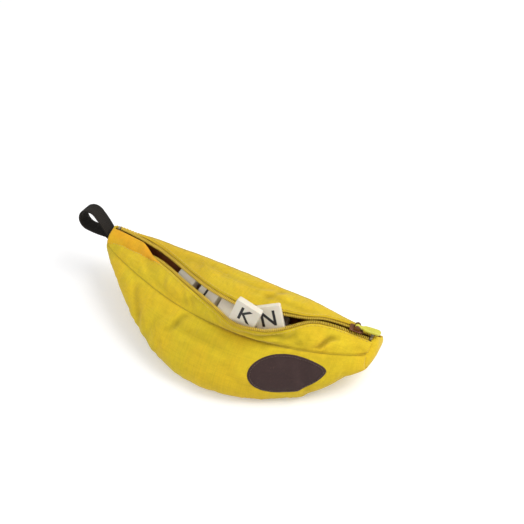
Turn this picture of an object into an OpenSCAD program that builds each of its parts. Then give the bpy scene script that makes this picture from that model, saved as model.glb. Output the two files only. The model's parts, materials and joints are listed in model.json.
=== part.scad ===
// Travel case for a word tile game: a curved, four-panelled cloth pouch that lies on its flat
// underside with its zip open along the top and letter tiles inside.
// X runs from the stem end to the tip, Y to the back and Z up. The origin is on the underside.

/* [Pouch] */
// Length of the cloth body from the stem end to the end of the zip
body_len = 216; // [208:1:224]
// How far the front bulges forward of its ends
belly_bow = 60; // [54:1:61]
// Height that the stem end stands above the ground
stem_lift = 25; // [22:1:30]
// Height that the tip stands above the ground
tip_lift = 20; // [12:1:22]
// Thickness of the cloth
cloth_t = 0.8; // [0.6:0.1:0.9]

/* [Seams] */
// How far the front side seam bows forward at mid length
front_seam_bow = 34; // [32:1:36]
// Height that the back side seam gains at mid length
back_seam_rise = 20.5; // [18:0.5:21]
// Radius of the raised seam welts
welt_r = 0.9; // [0.6:0.1:1]

/* [Zip] */
// How far the zip bows away from the line between its ends
zip_bow = 40; // [38:1:42]
// Width of the open mouth where the zip gapes most
mouth_gap = 13; // [12:0.5:14]
// Pitch of the zip teeth
tooth_pitch = 3; // [3:0.5:5]
// Width of zip tape that shows beside the teeth
tape_show = 2.4; // [2:0.2:3]
// Length of the pull tab from its pin to its tip
pull_len = 17; // [12:1:18]

/* [Loop] */
// Length of the webbing loop
loop_len = 26; // [25:1:34]
// Width of the webbing
webbing_w = 12.5; // [10:0.5:14]
// Thickness of the webbing
webbing_t = 2; // [1.6:0.2:2.4]

/* [Tiles] */
// Side of a square tile
tile_side = 19; // [17:0.5:19]
// Thickness of a tile
tile_t = 5; // [4:0.5:5]

/* [Hidden] */
yellow = "#e3c92e";
deep_yellow = "#d9a62a";
brown = "#3a2620";
black = "#241f1c";
ivory = "#efe9d6";
stations = 44;        // steps along a panel
across = 8;           // steps across a panel
seam_gap = 1.4;       // cloth edge to the seam line
chain_half = 1.1;     // half width of one row of teeth
chain_space = 1;      // half the space between the two rows where the zip lies closed
chain_rise = 0.8;     // half height of a row of teeth
stem_swell = 3.4;      // how much fuller the front is in the stem half
stem_lean = 40;       // slope across the zip at the stem end
tip_lean = -5;        // slope across the zip where it lies closed at the tip
zip_ends = [0.03, 0.982];  // first and last tooth along the pouch
slider_u = 0.935;     // place of the slider along the zip
slider_room = 1.1;    // space between the teeth and the slider's plates
plate_t = 1.1;        // thickness of the slider's plates
pin_r = 0.7;          // radius of the pull tab's pin
pin_height = 5;       // height of the pin above the zip line
pull_rest = 175;      // angle of the pull tab above the zip at rest
loop_place = [-110.3, 34, 34];  // where the webbing leaves the stem end
loop_rise = 27;       // upward slope of the loop
loop_tilt = 13;       // how far the webbing's front edge is tipped up
loop_yaw = -2;        // turn of the loop about the vertical
loop_bend = 9;        // outer radius of the loop's bend
pivot_x = 3;          // where the webbing starts to flex, from the stem end
eps = 0.3;            // clearance between sewn neighbours

function mix(a, b, u) = a + (b - a) * u;
function clamp01(t) = min(1, max(0, t));
function ease(t) = let (c = clamp01(t)) c * c * (3 - 2 * c);
function bell(u, skew, sharp) = pow(max(0, sin(180 * pow(clamp01(u), skew))), sharp);
function unit(v) = v / norm(v);

// ---- ridge lines of the pouch, u = 0 at the stem end and 1 at the tip ----
function body_x(u) = mix(-body_len / 2, body_len / 2, u);
function base_z(u) = stem_lift * ease(1 - u / 0.464) + tip_lift * ease((u - 0.82) / 0.18);
function tip_out(u) = ease((u - 0.75) / 0.25);
function front_seam(u) = let (b = bell(u, 1.15, 0.8))
    [body_x(u), 23 - front_seam_bow * b, mix(33, 29, u) + 7.5 * b];
function belly_y(u) = mix(23, 16, u) - belly_bow * bell(u, 1.142, 0.883)
    - stem_swell * sin(180 * clamp01((u + 0.05) / 0.56));
function bottom_seam(u) = [body_x(u) + 3 * tip_out(u), mix(30, 33, u) - 30 * bell(u, 1, 0.8), base_z(u)];
function back_seam(u) = let (b = bell(u, 1, 0.8))
    [body_x(u) + 2 * tip_out(u), mix(40, 42, u) - 9.5 * b + 1.2 * hump(u / 0.3),
     mix(33, 28, u) + back_seam_rise * b + 1.6 * hump((u - 0.66) / 0.22)];

// ---- zip line and its two lips, side -1 in front and 1 behind ----
function zip_bell(u) = bell(u, 1.4, mix(1.35, 2.3, u));
function zip_mid(u) = let (b = zip_bell(u), a = 129 + 28 * pow(b, 1.6), r = zip_bow * b)
    [body_x(u), mix(29, 35, u) + r * cos(a) - droop(u), mix(38, 33, u) + r * sin(a) - droop(u)];
// The slack front of the mouth hangs a little forward and down in two places
function droop(u) = 3.05 * hump((u - 0.204) / 0.35) + 1.75 * hump((u - 0.66) / 0.18);
function hump(t) = pow(max(0, sin(180 * clamp01(t))), 1.5);
// Share of the full mouth width: the wide part, and the narrow slit that runs to the stem end
function gape(u) = pow(sin(180 * pow(clamp01((u - 0.25) / 0.555), 2.6)), 1.2)
    + 0.22 * ease(u / 0.2) * (1 - ease((u - 0.34) / 0.2));
function lean(u) = mix(mix(stem_lean, tip_lean, ease((u - 0.6) / 0.2)), 6, gape(u));
function lip(u, side) = let (a = lean(u), s = side > 0 ? ease(1 - u / 0.25) : 0)
    zip_mid(u) + side * (mouth_gap * gape(u) / 2 + chain_space + chain_half) * [0, cos(a), sin(a)]
    + s * [0, 5, 3];

// ---- surfaces: every one is a grid of points f(u, v) ----
function bezier(a, b, c, d, t) = let (s = 1 - t)
    s * s * s * a + 3 * s * s * t * b + 3 * s * t * t * c + t * t * t * d;
// Bezier parameter that runs from the cloth's edge at the side seam to just short of the bottom seam
function seam_t(f, b, t) = mix(min(0.35, seam_gap / (3 * norm(b - f))), 0.995, t);
function on_base(p, floor_z) = [p[0], p[1], max(p[2], floor_z)];
function front_wall(u, t) = let (f = front_seam(u), m = bottom_seam(u), y = belly_y(u), h = f[2] - m[2],
        d = f[1] - y, b = [f[0], y, m[2] + 0.6 * h], c = [m[0], y - 0.77 * d, m[2] - 0.22 * h])
    on_base(bezier(f, b, c, m, seam_t(f, b, t)), m[2]);
function back_wall(u, t) = let (f = back_seam(u), m = bottom_seam(u), h = f[2] - m[2],
        b = [f[0], f[1] + 5, m[2] + 0.6 * h], c = [m[0], f[1] + 6, m[2] - 0.15 * h])
    on_base(bezier(f, b, c, m, seam_t(f, b, t)), m[2]);
function tape_w(u, side) = min(tape_show, 0.3 * (norm(lip(u, side) - outer_seam(u, side)) - 2));
function outer_seam(u, side) = side < 0 ? front_seam(u) : back_seam(u);
// Point at distance d from the lip towards the side seam, raised by the panel's swell
function top_point(u, side, d, swell) = let (l = lip(u, side), f = outer_seam(u, side), w = norm(f - l),
        k = d / w, n = unit(cross([1, 0, 0], f - l)))
    l + (f - l) * k + side * n * swell * 4 * k * (1 - k);
function top_wall(u, v, side) = let (w = norm(outer_seam(u, side) - lip(u, side)),
        swell = (side < 0 ? 1.5 : 3) * min(1, w / 25))
    top_point(u, side, mix(chain_half + eps + tape_w(u, side) + eps, w - seam_gap, v), swell);

function grid(f, nu, nv) = [for (i = [0:nu]) [for (j = [0:nv]) f(i / nu, j / nv)]];
// Grid pushed along its own normals by d
function pushed(g, d) = let (nu = len(g) - 1, nv = len(g[0]) - 1) [for (i = [0:nu]) [for (j = [0:nv])
    let (a = g[min(i + 1, nu)][j] - g[max(i - 1, 0)][j], b = g[i][min(j + 1, nv)] - g[i][max(j - 1, 0)])
    g[i][j] + d * unit(cross(a, b))]];
function flat_list(g) = [for (row = g) for (p = row) p];

// Closed skin between two grids of the same size
module skin(top, under) {
    nu = len(top) - 1;
    nv = len(top[0]) - 1;
    w = nv + 1;
    n = (nu + 1) * w;
    quads = [
        for (i = [0:nu - 1]) for (j = [0:nv - 1])
            [i * w + j, i * w + j + 1, (i + 1) * w + j + 1, (i + 1) * w + j],
        for (i = [0:nu - 1]) for (j = [0:nv - 1])
            [n + (i + 1) * w + j, n + (i + 1) * w + j + 1, n + i * w + j + 1, n + i * w + j],
        for (i = [0:nu - 1]) [i * w, (i + 1) * w, n + (i + 1) * w, n + i * w],
        for (i = [0:nu - 1]) [n + i * w + nv, n + (i + 1) * w + nv, (i + 1) * w + nv, i * w + nv],
        for (j = [0:nv - 1]) [n + j, n + j + 1, j + 1, j],
        for (j = [0:nv - 1]) [nu * w + j, nu * w + j + 1, n + nu * w + j + 1, n + nu * w + j]
    ];
    triangles = [for (q = quads) each [[q[0], q[2], q[1]], [q[0], q[3], q[2]]]];
    polyhedron(concat(flat_list(top), flat_list(under)), triangles, convexity = 6);
}

// Tube of outline rings, all with the same number of points
module loft(rings) {
    k = len(rings[0]);
    last = len(rings) - 1;
    sides = [for (i = [0:last - 1]) for (j = [0:k - 1])
        let (a = i * k + j, b = i * k + (j + 1) % k) each [[a, b + k, b], [a, a + k, b + k]]];
    caps = [for (j = [1:k - 2]) each [[0, j, j + 1], [last * k, last * k + j + 1, last * k + j]]];
    polyhedron(flat_list(rings), concat(sides, caps), convexity = 6);
}

// ---- cloth panels ----
module front_lower_panel() {
    g = grid(function (u, v) front_wall(u, v), stations, across + 4);
    color(yellow) skin(g, pushed(g, cloth_t));
}
module back_lower_panel() {
    g = grid(function (u, v) back_wall(u, 1 - v), stations, across + 2);
    color(yellow) skin(g, pushed(g, cloth_t));
}
module front_upper_panel() {
    g = grid(function (u, v) top_wall(u, v, -1), stations, across);
    color(yellow) skin(g, pushed(g, cloth_t));
}
module back_upper_panel() {
    g = grid(function (u, v) top_wall(u, 1 - v, 1), stations, across);
    color(deep_yellow) skin(g, pushed(g, cloth_t));
}

// Patch that closes one end of the pouch
function end_ring(u, dx, k) = let (
        ring = concat([for (t = [0:0.2:1]) front_wall(u, t)], [for (t = [0.8:-0.2:0]) back_wall(u, t)],
            [lip(u, 1), lip(u, -1)]),
        c = [for (a = [0:2]) let (column = [for (p = ring) p[a]]) column * [for (p = ring) 1] / len(ring)])
    [for (p = ring) c + [(p[0] - c[0]), (p[1] - c[1]) * k, (p[2] - c[2]) * k] + [dx, 0, 0]];
module stem_end_patch() {
    color(yellow) loft([end_ring(0, -1, 0.8), end_ring(0, -0.7, 0.95), end_ring(0, -eps, 1)]);
}
module tip_end_patch() {
    color(yellow) loft([end_ring(1, eps, 1), end_ring(1, 1.6, 0.88), end_ring(1, 2.6, 0.6)]);
}

// ---- raised welts along the side seams ----
module welt(seam) {
    rings = [for (i = [0:stations]) let (p = seam(i / stations))
        [for (a = [0:60:300]) p + welt_r * [0, cos(a), sin(a)]]];
    color(deep_yellow) loft(rings);
}
module front_side_welt() { welt(function (u) front_seam(u)); }
module back_side_welt() { welt(function (u) back_seam(u)); }

// ---- cloth flap over the start of the zip ----
module zip_end_flap() {
    lift = 2.2;
    function flap(u, v) = let (a = lip(u, -1), b = lip(u, 1), n = unit(cross([1, 0, 0], b - a)))
        mix(a, b, mix(-0.2, 0.66, v)) + n * (lift + 1.5 * 4 * v * (1 - v));
    g = grid(function (u, v) flap(mix(0.02, 0.2, u), 1 - v), 12, 5);
    color(deep_yellow) skin(g, pushed(g, 0.7));
}

// ---- oval patch sewn on the front lower panel ----
module oval_patch() {
    half = [23.5, 14.5];
    centre = [0.8, 0.25];
    reach = 0.985;
    slope = -0.01;
    function oval(u, v) = let (a = reach * (2 * u - 1), h = sqrt(1 - a * a) * (2 * v - 1))
        front_wall(centre[0] + a * half[0] / body_len, centre[1] + h * half[1] / 72 - slope * a);
    g = grid(function (u, v) oval(u, v), 20, 6);
    color(brown) skin(pushed(g, -0.85), pushed(g, -0.25));
}

// ---- zip: tapes, teeth, stops, slider and pull tab ----
module zip_tape(side) {
    start = chain_half + eps;
    // where the slider runs, the tape leaves the teeth in their own plane
    function level(u) = let (a = lean(u)) lip(u, side) + side * (start + 0.5) * [0, cos(a), sin(a)];
    function inner_edge(u) = mix(top_point(u, side, start, 0), level(u), ease((u - 0.8) / 0.05));
    function tape(u, v) = mix(inner_edge(u), top_point(u, side, start + tape_w(u, side), 0), v);
    g = grid(function (u, v) tape(u, side < 0 ? v : 1 - v), stations, 1);
    color(yellow) skin(g, pushed(g, 0.6));
}
module front_zip_tape() { zip_tape(-1); }
module back_zip_tape() { zip_tape(1); }
module zip_teeth(side) {
    count = floor((zip_ends[1] - zip_ends[0]) * body_len / tooth_pitch);
    function ring(u, reach) = let (p = lip(u, side), a = lean(u),
            e = -side * [0, cos(a), sin(a)], n = [0, -sin(a), cos(a)])
        [p - chain_half * e - chain_rise * n, p + reach * e - chain_rise * n,
         p + reach * e + chain_rise * n, p - chain_half * e + chain_rise * n];
    marks = [for (i = [0:count - 1]) each [[i, 1], [i + 0.5, 1], [i + 0.55, -0.2], [i + 0.95, -0.2]]];
    rings = [for (m = marks) ring(mix(zip_ends[0], zip_ends[1], m[0] / count), m[1] * chain_half)];
    color(yellow) loft(side < 0 ? rings : [for (i = [len(rings) - 1:-1:0]) rings[i]]);
}
module front_zip_teeth() { zip_teeth(-1); }
module back_zip_teeth() { zip_teeth(1); }

// Frame that rides on the zip line: X along it, Z out of the pouch
module on_zip(u, side = 0) {
    o = side == 0 ? zip_mid(u) : lip(u, side);
    x = unit(zip_mid(u + 0.01) - zip_mid(u - 0.01));
    a = lean(u) + 90;
    y = unit(cross([0, cos(a), sin(a)], x));
    z = cross(x, y);
    multmatrix([[x[0], y[0], z[0], o[0]], [x[1], y[1], z[1], o[1]], [x[2], y[2], z[2], o[2]], [0, 0, 0, 1]])
        children();
}
module block(size) { translate(-size / 2) cube(size); }
module zip_bottom_stop() {
    color("silver") on_zip(zip_ends[1] + 0.008) block([1.6, 6, 2.4]);
}
module zip_top_stops() {
    color("silver") for (side = [-1, 1]) on_zip(zip_ends[0] - 0.01, side) block([1.6, 2.2, 2.2]);
}
module slider_plate(z) {
    translate([0, 0, z]) linear_extrude(plate_t) union() {
        translate([-4, -3.3]) square([8, 6.6]);
        for (y = [-2.3, 2.3]) translate([4, y]) circle(r = 1, $fn = 32);
        translate([4, -2.3]) square([1, 4.6]);
    }
}
module zip_slider() {
    inner = chain_rise + slider_room;
    cheek_base = inner + plate_t;
    color("#6b3c1c") on_zip(slider_u) {
        slider_plate(inner);
        slider_plate(-inner - plate_t);
        translate([-4, -0.4, -inner - plate_t / 2]) cube([2, 0.8, 2 * inner + plate_t]);
        for (y = [-2.5, 1.5]) {
            translate([-2, y, cheek_base - 0.1]) cube([4, 1, pin_height - cheek_base + 0.1]);
            translate([0, y, pin_height]) rotate([-90, 0, 0]) cylinder(r = 2, h = 1, $fn = 48);
        }
        translate([0, -2.5, pin_height]) rotate([-90, 0, 0]) cylinder(r = pin_r, h = 5, $fn = 32);
    }
}
module zip_pull_tab() {
    eye_r = 1.9;
    tab_t = 1.6;
    color(yellow) on_zip(slider_u) translate([0, 0, pin_height]) rotate([0, 180 + pull_rest, 0])
    difference() {
        union() {
            translate([0, -1.3, 0]) rotate([-90, 0, 0]) cylinder(r = eye_r, h = 2.6, $fn = 48);
            translate([0, -1.3, -tab_t / 2]) cube([5, 2.6, tab_t]);
            translate([3.5, -2.5, -tab_t / 2]) cube([pull_len - 6, 5, tab_t]);
            translate([pull_len - 2.5, 0, -tab_t / 2]) cylinder(r = 2.5, h = tab_t, $fn = 48);
        }
        translate([0, -2, 0]) rotate([-90, 0, 0]) cylinder(r = pin_r + 0.08, h = 4, $fn = 48);
    }
}

// ---- webbing loop, hinged where it is sewn into the stem end ----
// Frame of the loop: X along it, Y through its opening's height, Z across the webbing
module on_loop() {
    translate(loop_place) rotate([0, 0, loop_yaw]) rotate([0, 180 + loop_rise, 0])
        rotate([90 + loop_tilt, 0, 0]) children();
}
// Two cylinders and the straight prism that is tangent to both
module teardrop(r0, x0, r1, x1, high) {
    b = asin((r1 - r0) / (x1 - x0));
    inside = 0.99;
    function edge(r, x, side) = [x - inside * r * sin(b), side * inside * r * cos(b)];
    union() {
        translate([x0, 0, 0]) cylinder(r = r0, h = high, $fn = 48);
        translate([x1, 0, 0]) cylinder(r = r1, h = high, $fn = 64);
        linear_extrude(high) polygon([edge(r0, x0, 1), edge(r0, x0, -1), edge(r1, x1, -1), edge(r1, x1, 1)]);
    }
}
module loop_root() {
    color(black) on_loop() difference() {
        translate([0, -webbing_t, -webbing_w / 2]) cube([pivot_x, 2 * webbing_t, webbing_w]);
        translate([pivot_x, 0, -webbing_w]) cylinder(r = webbing_t + eps, h = 2 * webbing_w, $fn = 48);
    }
}
module webbing_loop() {
    eye_start = 8;   // where the two layers of webbing part
    far = loop_len - loop_bend;
    color(black) on_loop() translate([pivot_x, 0, -webbing_w / 2]) difference() {
        teardrop(webbing_t, 0, loop_bend, far, webbing_w);
        translate([0, 0, -1]) teardrop(0.4, eye_start, loop_bend - webbing_t, far, webbing_w + 2);
    }
}

// ---- letter tiles ----
module tile() {
    r = 1.4;
    s = tile_side / 2;
    translate([0, 0, -tile_t / 2]) linear_extrude(tile_t) union() {
        square([2 * s, 2 * (s - r)], center = true);
        square([2 * (s - r), 2 * s], center = true);
        for (x = [-1, 1]) for (y = [-1, 1]) translate([x * (s - r), y * (s - r)]) circle(r = r, $fn = 32);
    }
}
// Tiles that stand in the mouth: centre, then lean from upright, turn and roll in degrees
mouth_tiles = [
    [[-32.5, 10.8, 38.3], 56, -36, 14],
    [[-7.8, 6.2, 44.3], 52, -30, 9],
    [[13.1, 2.7, 45.7], 62, -3, -2],
    [[28.7, -5.0, 55.5], 11, 3, -17],
    [[42.1, 3.3, 50.4], 26, 18, 16]
];
module mouth_tile(i) {
    m = mouth_tiles[i];
    color(ivory) translate(m[0]) rotate([0, 0, m[2]]) rotate([90 - m[1], 0, 0]) rotate([0, 0, m[3]]) tile();
}
module mouth_tile_1() { mouth_tile(0); }
module mouth_tile_2() { mouth_tile(1); }
module mouth_tile_3() { mouth_tile(2); }
module mouth_tile_4() { mouth_tile(3); }
module mouth_tile_5() { mouth_tile(4); }

// Room between the walls over one tile's height, at one place along the pouch
wall_room = 1.8;
cell = tile_side + 2;
function beside(p, u, z) = p[2] > max(z - 4, base_z(u) + 0.3) && p[2] < z + tile_t + 4;
function front_limit(u, z) = max([for (t = [0:0.05:1])
    let (p = front_wall(u, t)) beside(p, u, z) ? p[1] : -99]);
function back_limit(u, z) = min([for (t = [0:0.05:1]) let (p = back_wall(u, t)) beside(p, u, z) ? p[1] : 99]);
function limits(x, z) = let (us = [for (d = [-10, 0, 10]) (x + d) / body_len + 0.5])
    [max([for (u = us) front_limit(u, z)]) + wall_room, min([for (u = us) back_limit(u, z)]) - wall_room,
     max([for (u = us) base_z(u)])];
module tile_layer(k) {
    z = cloth_t + 0.5 + k * (tile_t + 0.4);
    span = k < 5 ? [-4, 4] : [0, 1];  // the top layer lies only under the wide part of the mouth
    color(ivory) for (column = [span[0]:span[1]]) {
        x = 12 + cell * (column + 0.3 * (k % 2));
        room = limits(x, z);
        rows = room[2] < z - cloth_t ? floor((room[1] - room[0]) / cell) : 0;
        if (rows > 0) for (row = [0:rows - 1]) {
            slack = (room[1] - room[0] - rows * cell) / (rows + 1);
            turn = 5 * sin(97 * column + 53 * row + 71 * k);
            translate([x, room[0] + slack + row * (cell + slack) + cell / 2, z + tile_t / 2])
                rotate([0, 0, turn]) tile();
        }
    }
}
module tile_layer_1() { tile_layer(0); }
module tile_layer_2() { tile_layer(1); }
module tile_layer_3() { tile_layer(2); }
module tile_layer_4() { tile_layer(3); }
module tile_layer_5() { tile_layer(4); }
module tile_layer_6() { tile_layer(5); }

front_lower_panel();
back_lower_panel();
front_upper_panel();
back_upper_panel();
stem_end_patch();
tip_end_patch();
front_side_welt();
back_side_welt();
zip_end_flap();
oval_patch();
front_zip_tape();
back_zip_tape();
front_zip_teeth();
back_zip_teeth();
zip_bottom_stop();
zip_top_stops();
zip_slider();
zip_pull_tab();
loop_root();
webbing_loop();
mouth_tile_1();
mouth_tile_2();
mouth_tile_3();
mouth_tile_4();
mouth_tile_5();
tile_layer_1();
tile_layer_2();
tile_layer_3();
tile_layer_4();
tile_layer_5();
tile_layer_6();
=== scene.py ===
"""A soft travel case for a word tile game: a curved cloth pouch with its zip open and tiles inside.

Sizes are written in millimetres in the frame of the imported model: X runs from the stem end to the tip,
Y to the back, Z up, with the origin on the flat underside. Every mesh is made in metres.
"""

from __future__ import annotations

import json
import logging
import math
from dataclasses import dataclass, field
from enum import Enum
from typing import Any, Mapping, Sequence

import bmesh
import bpy
import numpy as np
from mathutils import Matrix, Vector

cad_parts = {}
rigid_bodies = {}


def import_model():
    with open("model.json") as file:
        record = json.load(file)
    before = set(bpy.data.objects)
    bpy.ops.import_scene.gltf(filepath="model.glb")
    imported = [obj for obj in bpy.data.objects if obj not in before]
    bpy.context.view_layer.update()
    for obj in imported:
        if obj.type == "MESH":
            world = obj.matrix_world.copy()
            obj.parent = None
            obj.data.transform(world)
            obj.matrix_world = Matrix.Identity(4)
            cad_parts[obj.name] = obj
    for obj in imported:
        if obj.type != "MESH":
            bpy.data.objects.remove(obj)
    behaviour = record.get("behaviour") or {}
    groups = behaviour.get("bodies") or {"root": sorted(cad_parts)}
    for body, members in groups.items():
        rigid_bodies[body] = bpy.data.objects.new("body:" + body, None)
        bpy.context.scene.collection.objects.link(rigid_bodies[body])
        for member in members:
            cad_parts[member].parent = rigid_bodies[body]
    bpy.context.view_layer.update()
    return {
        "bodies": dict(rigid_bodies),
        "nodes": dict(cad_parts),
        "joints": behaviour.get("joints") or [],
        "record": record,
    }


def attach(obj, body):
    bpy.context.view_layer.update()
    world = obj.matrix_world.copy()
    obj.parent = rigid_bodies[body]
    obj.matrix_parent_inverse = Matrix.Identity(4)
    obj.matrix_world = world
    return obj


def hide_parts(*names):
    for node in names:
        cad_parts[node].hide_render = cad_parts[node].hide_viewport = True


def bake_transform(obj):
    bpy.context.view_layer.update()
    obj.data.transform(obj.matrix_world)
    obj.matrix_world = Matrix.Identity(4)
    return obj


logging.basicConfig(level=logging.INFO, format="%(name)s: %(message)s")
LOG = logging.getLogger("tile pouch")

MM = 0.001
UP = (0, 0, 1)
HEM_GAP, EDGE_GAP = 0.4, 0.3  # from the teeth to a panel's folded edge, and from a seam's line to the cloth
SHEET_WIDTH, SHEET_FILL = 10.0, 0.31  # the least width that declare_sheet clamps to, and the least share of width times length that it clamps the area to
Array = np.ndarray
Colour = tuple[float, float, float]
Material = bpy.types.Material
Piece = bpy.types.Object


class Side(Enum):
    """The two sides of the zip."""

    FRONT = -1
    BACK = 1

    @property
    def word(self) -> str:
        """Returns the side's name as pieces are named."""
        return self.name.lower()


# ---------------------------------------------------------------- shader arithmetic


def operator(operation: str, swapped: bool = False) -> Any:
    """Returns a method of Value that adds one Math node.

    Args:
        operation: The node's operation.
        swapped: Whether the value is the last operand instead of the first.

    Returns:
        The method.
    """
    def method(value: "Value", *others: "Value | float") -> "Value":
        """Adds the node and returns its result."""
        operands = (*others, value) if swapped else (value, *others)
        return value.board.math(operation, *operands)
    return method


@dataclass(frozen=True)
class Value:
    """A shader socket that can be used in ordinary arithmetic."""

    board: "Board"
    socket: bpy.types.NodeSocket

    __add__ = __radd__ = operator("ADD")
    __mul__ = __rmul__ = operator("MULTIPLY")
    __sub__, __rsub__ = operator("SUBTRACT"), operator("SUBTRACT", True)
    __truediv__ = operator("DIVIDE")
    __mod__ = operator("FLOORED_MODULO")
    floor, fract, sin = operator("FLOOR"), operator("FRACT"), operator("SINE")
    larger = operator("MAXIMUM")

    def step(self, low: float, high: float) -> "Value":
        """Returns 0 below low, 1 above high, and a smooth climb between."""
        node = self.board.add("ShaderNodeMapRange", {"interpolation_type": "SMOOTHSTEP"},
                              {"Value": self, "From Min": low, "From Max": high})
        return Value(self.board, node.outputs["Result"])


class Board:
    """The node tree of one material, with a Principled shader on it."""

    def __init__(self, name: str, fixed: Mapping[str, Any]) -> None:
        """Makes the material.

        Args:
            name: The material's name.
            fixed: Values that are set on the shader's own sockets.
        """
        self.material = bpy.data.materials.new(name)
        self.material.use_nodes = True
        self.tree = self.material.node_tree
        self.tree.nodes.clear()
        self.shader = self.add("ShaderNodeBsdfPrincipled", None, fixed)
        out = self.add("ShaderNodeOutputMaterial")
        self.tree.links.new(self.shader.outputs[0], out.inputs["Surface"])

    def add(self, kind: str, settings: Mapping[str, Any] | None = None,
            inputs: Mapping[str | int, Any] | None = None) -> bpy.types.Node:
        """Adds a node.

        Args:
            kind: The node's type.
            settings: Properties, set first; "stops" holds a ramp's places and colours.
            inputs: Values or links of its sockets, by name or number.

        Returns:
            The node.
        """
        node = self.tree.nodes.new(kind)
        for name, value in (settings or {}).items():
            if name == "stops":
                elements = node.color_ramp.elements
                while len(elements) < len(value):
                    elements.new(0.5)
                for element, (place, colour) in zip(elements, value):
                    element.position = place
                    element.color = (*colour, 1)
            else:
                setattr(node, name, value)
        for name, value in (inputs or {}).items():
            socket = node.inputs[name]
            if isinstance(value, Value):
                self.tree.links.new(value.socket, socket)
            elif isinstance(value, tuple) and len(value) == 3 and socket.type == "RGBA":
                socket.default_value = (*value, 1)
            else:
                socket.default_value = value
        return node

    def math(self, operation: str, *operands: Value | float) -> Value:
        """Adds a Math node with its operands in order, and returns its result."""
        node = self.add("ShaderNodeMath", {"operation": operation}, dict(enumerate(operands)))
        return Value(self, node.outputs[0])

    def place(self) -> Value:
        """Returns the Object coordinates, in metres."""
        return Value(self, self.add("ShaderNodeTexCoord").outputs["Object"])

    def cloth_place(self) -> Value:
        """Returns the piece's own UV, in metres along the cloth."""
        return Value(self, self.add("ShaderNodeUVMap", {"uv_map": "Cloth"}).outputs["UV"])

    def attribute(self, name: str) -> Value:
        """Returns a number that is stored on the mesh's points."""
        return Value(self, self.add("ShaderNodeAttribute", {"attribute_name": name}).outputs["Fac"])

    def split(self, vector: Value) -> tuple[Value, Value, Value]:
        """Returns a vector's three parts."""
        node = self.add("ShaderNodeSeparateXYZ", None, {0: vector})
        return tuple(Value(self, s) for s in node.outputs)

    def noise(self, where: Value, grain: float, detail: float = 3.0, rough: float = 0.55) -> Value:
        """Adds a noise texture.

        Args:
            where: The coordinates, in metres.
            grain: The size of its patches, in millimetres.
            detail: Its octaves.
            rough: The weight of the finer octaves.

        Returns:
            A value from 0 to 1.
        """
        node = self.add("ShaderNodeTexNoise", {"noise_dimensions": "3D"},
                        {"Vector": where, "Scale": 1 / (grain * MM), "Detail": detail, "Roughness": rough})
        return Value(self, node.outputs["Fac"])

    def streak(self, number: Value, seed: float) -> Value:
        """Returns a random value from 0 to 1 for each whole number."""
        node = self.add("ShaderNodeTexWhiteNoise", {"noise_dimensions": "2D"},
                        {"Vector": Value(self, self.add("ShaderNodeCombineXYZ", None,
                                                        {0: number, 1: seed}).outputs[0])})
        return Value(self, node.outputs["Value"])

    def mix(self, share: Value | float, low: Value | Colour, high: Value | Colour, blend: str = "MIX") -> Value:
        """Mixes two colours.

        Args:
            share: How much of the second.
            low: The first colour.
            high: The second colour.
            blend: The way of mixing.

        Returns:
            The mixed colour.
        """
        node = self.add("ShaderNodeMix", {"data_type": "RGBA", "blend_type": blend},
                        {"Factor": share, 6: low, 7: high})
        return Value(self, node.outputs[2])

    def shade(self, colour: Value, light: Value) -> Value:
        """Returns the colour times a light value."""
        grey = self.add("ShaderNodeCombineColor", None, {0: light, 1: light, 2: light})
        return self.mix(1.0, colour, Value(self, grey.outputs[0]), "MULTIPLY")

    def finish(self, colour: Value | None = None, roughness: Value | None = None,
               height: Value | None = None, depth: float = 0.1, strength: float = 1.0) -> Material:
        """Links the varying parts of the surface.

        Args:
            colour: The base colour.
            roughness: The roughness.
            height: The bump, from 0 to 1.
            depth: How deep the bump is, in millimetres.
            strength: How strongly the bump shows.

        Returns:
            The material.
        """
        links = self.tree.links
        if colour is not None:
            links.new(colour.socket, self.shader.inputs["Base Color"])
        if roughness is not None:
            links.new(roughness.socket, self.shader.inputs["Roughness"])
        if height is not None:
            bump = self.add("ShaderNodeBump", None,
                            {"Strength": strength, "Distance": depth * MM, "Height": height})
            links.new(bump.outputs[0], self.shader.inputs["Normal"])
        return self.material


# ---------------------------------------------------------------- finishes


@dataclass(frozen=True)
class Finish:
    """What every finish has; each kind's make() returns its material."""

    name: str
    colour: Colour


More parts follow.
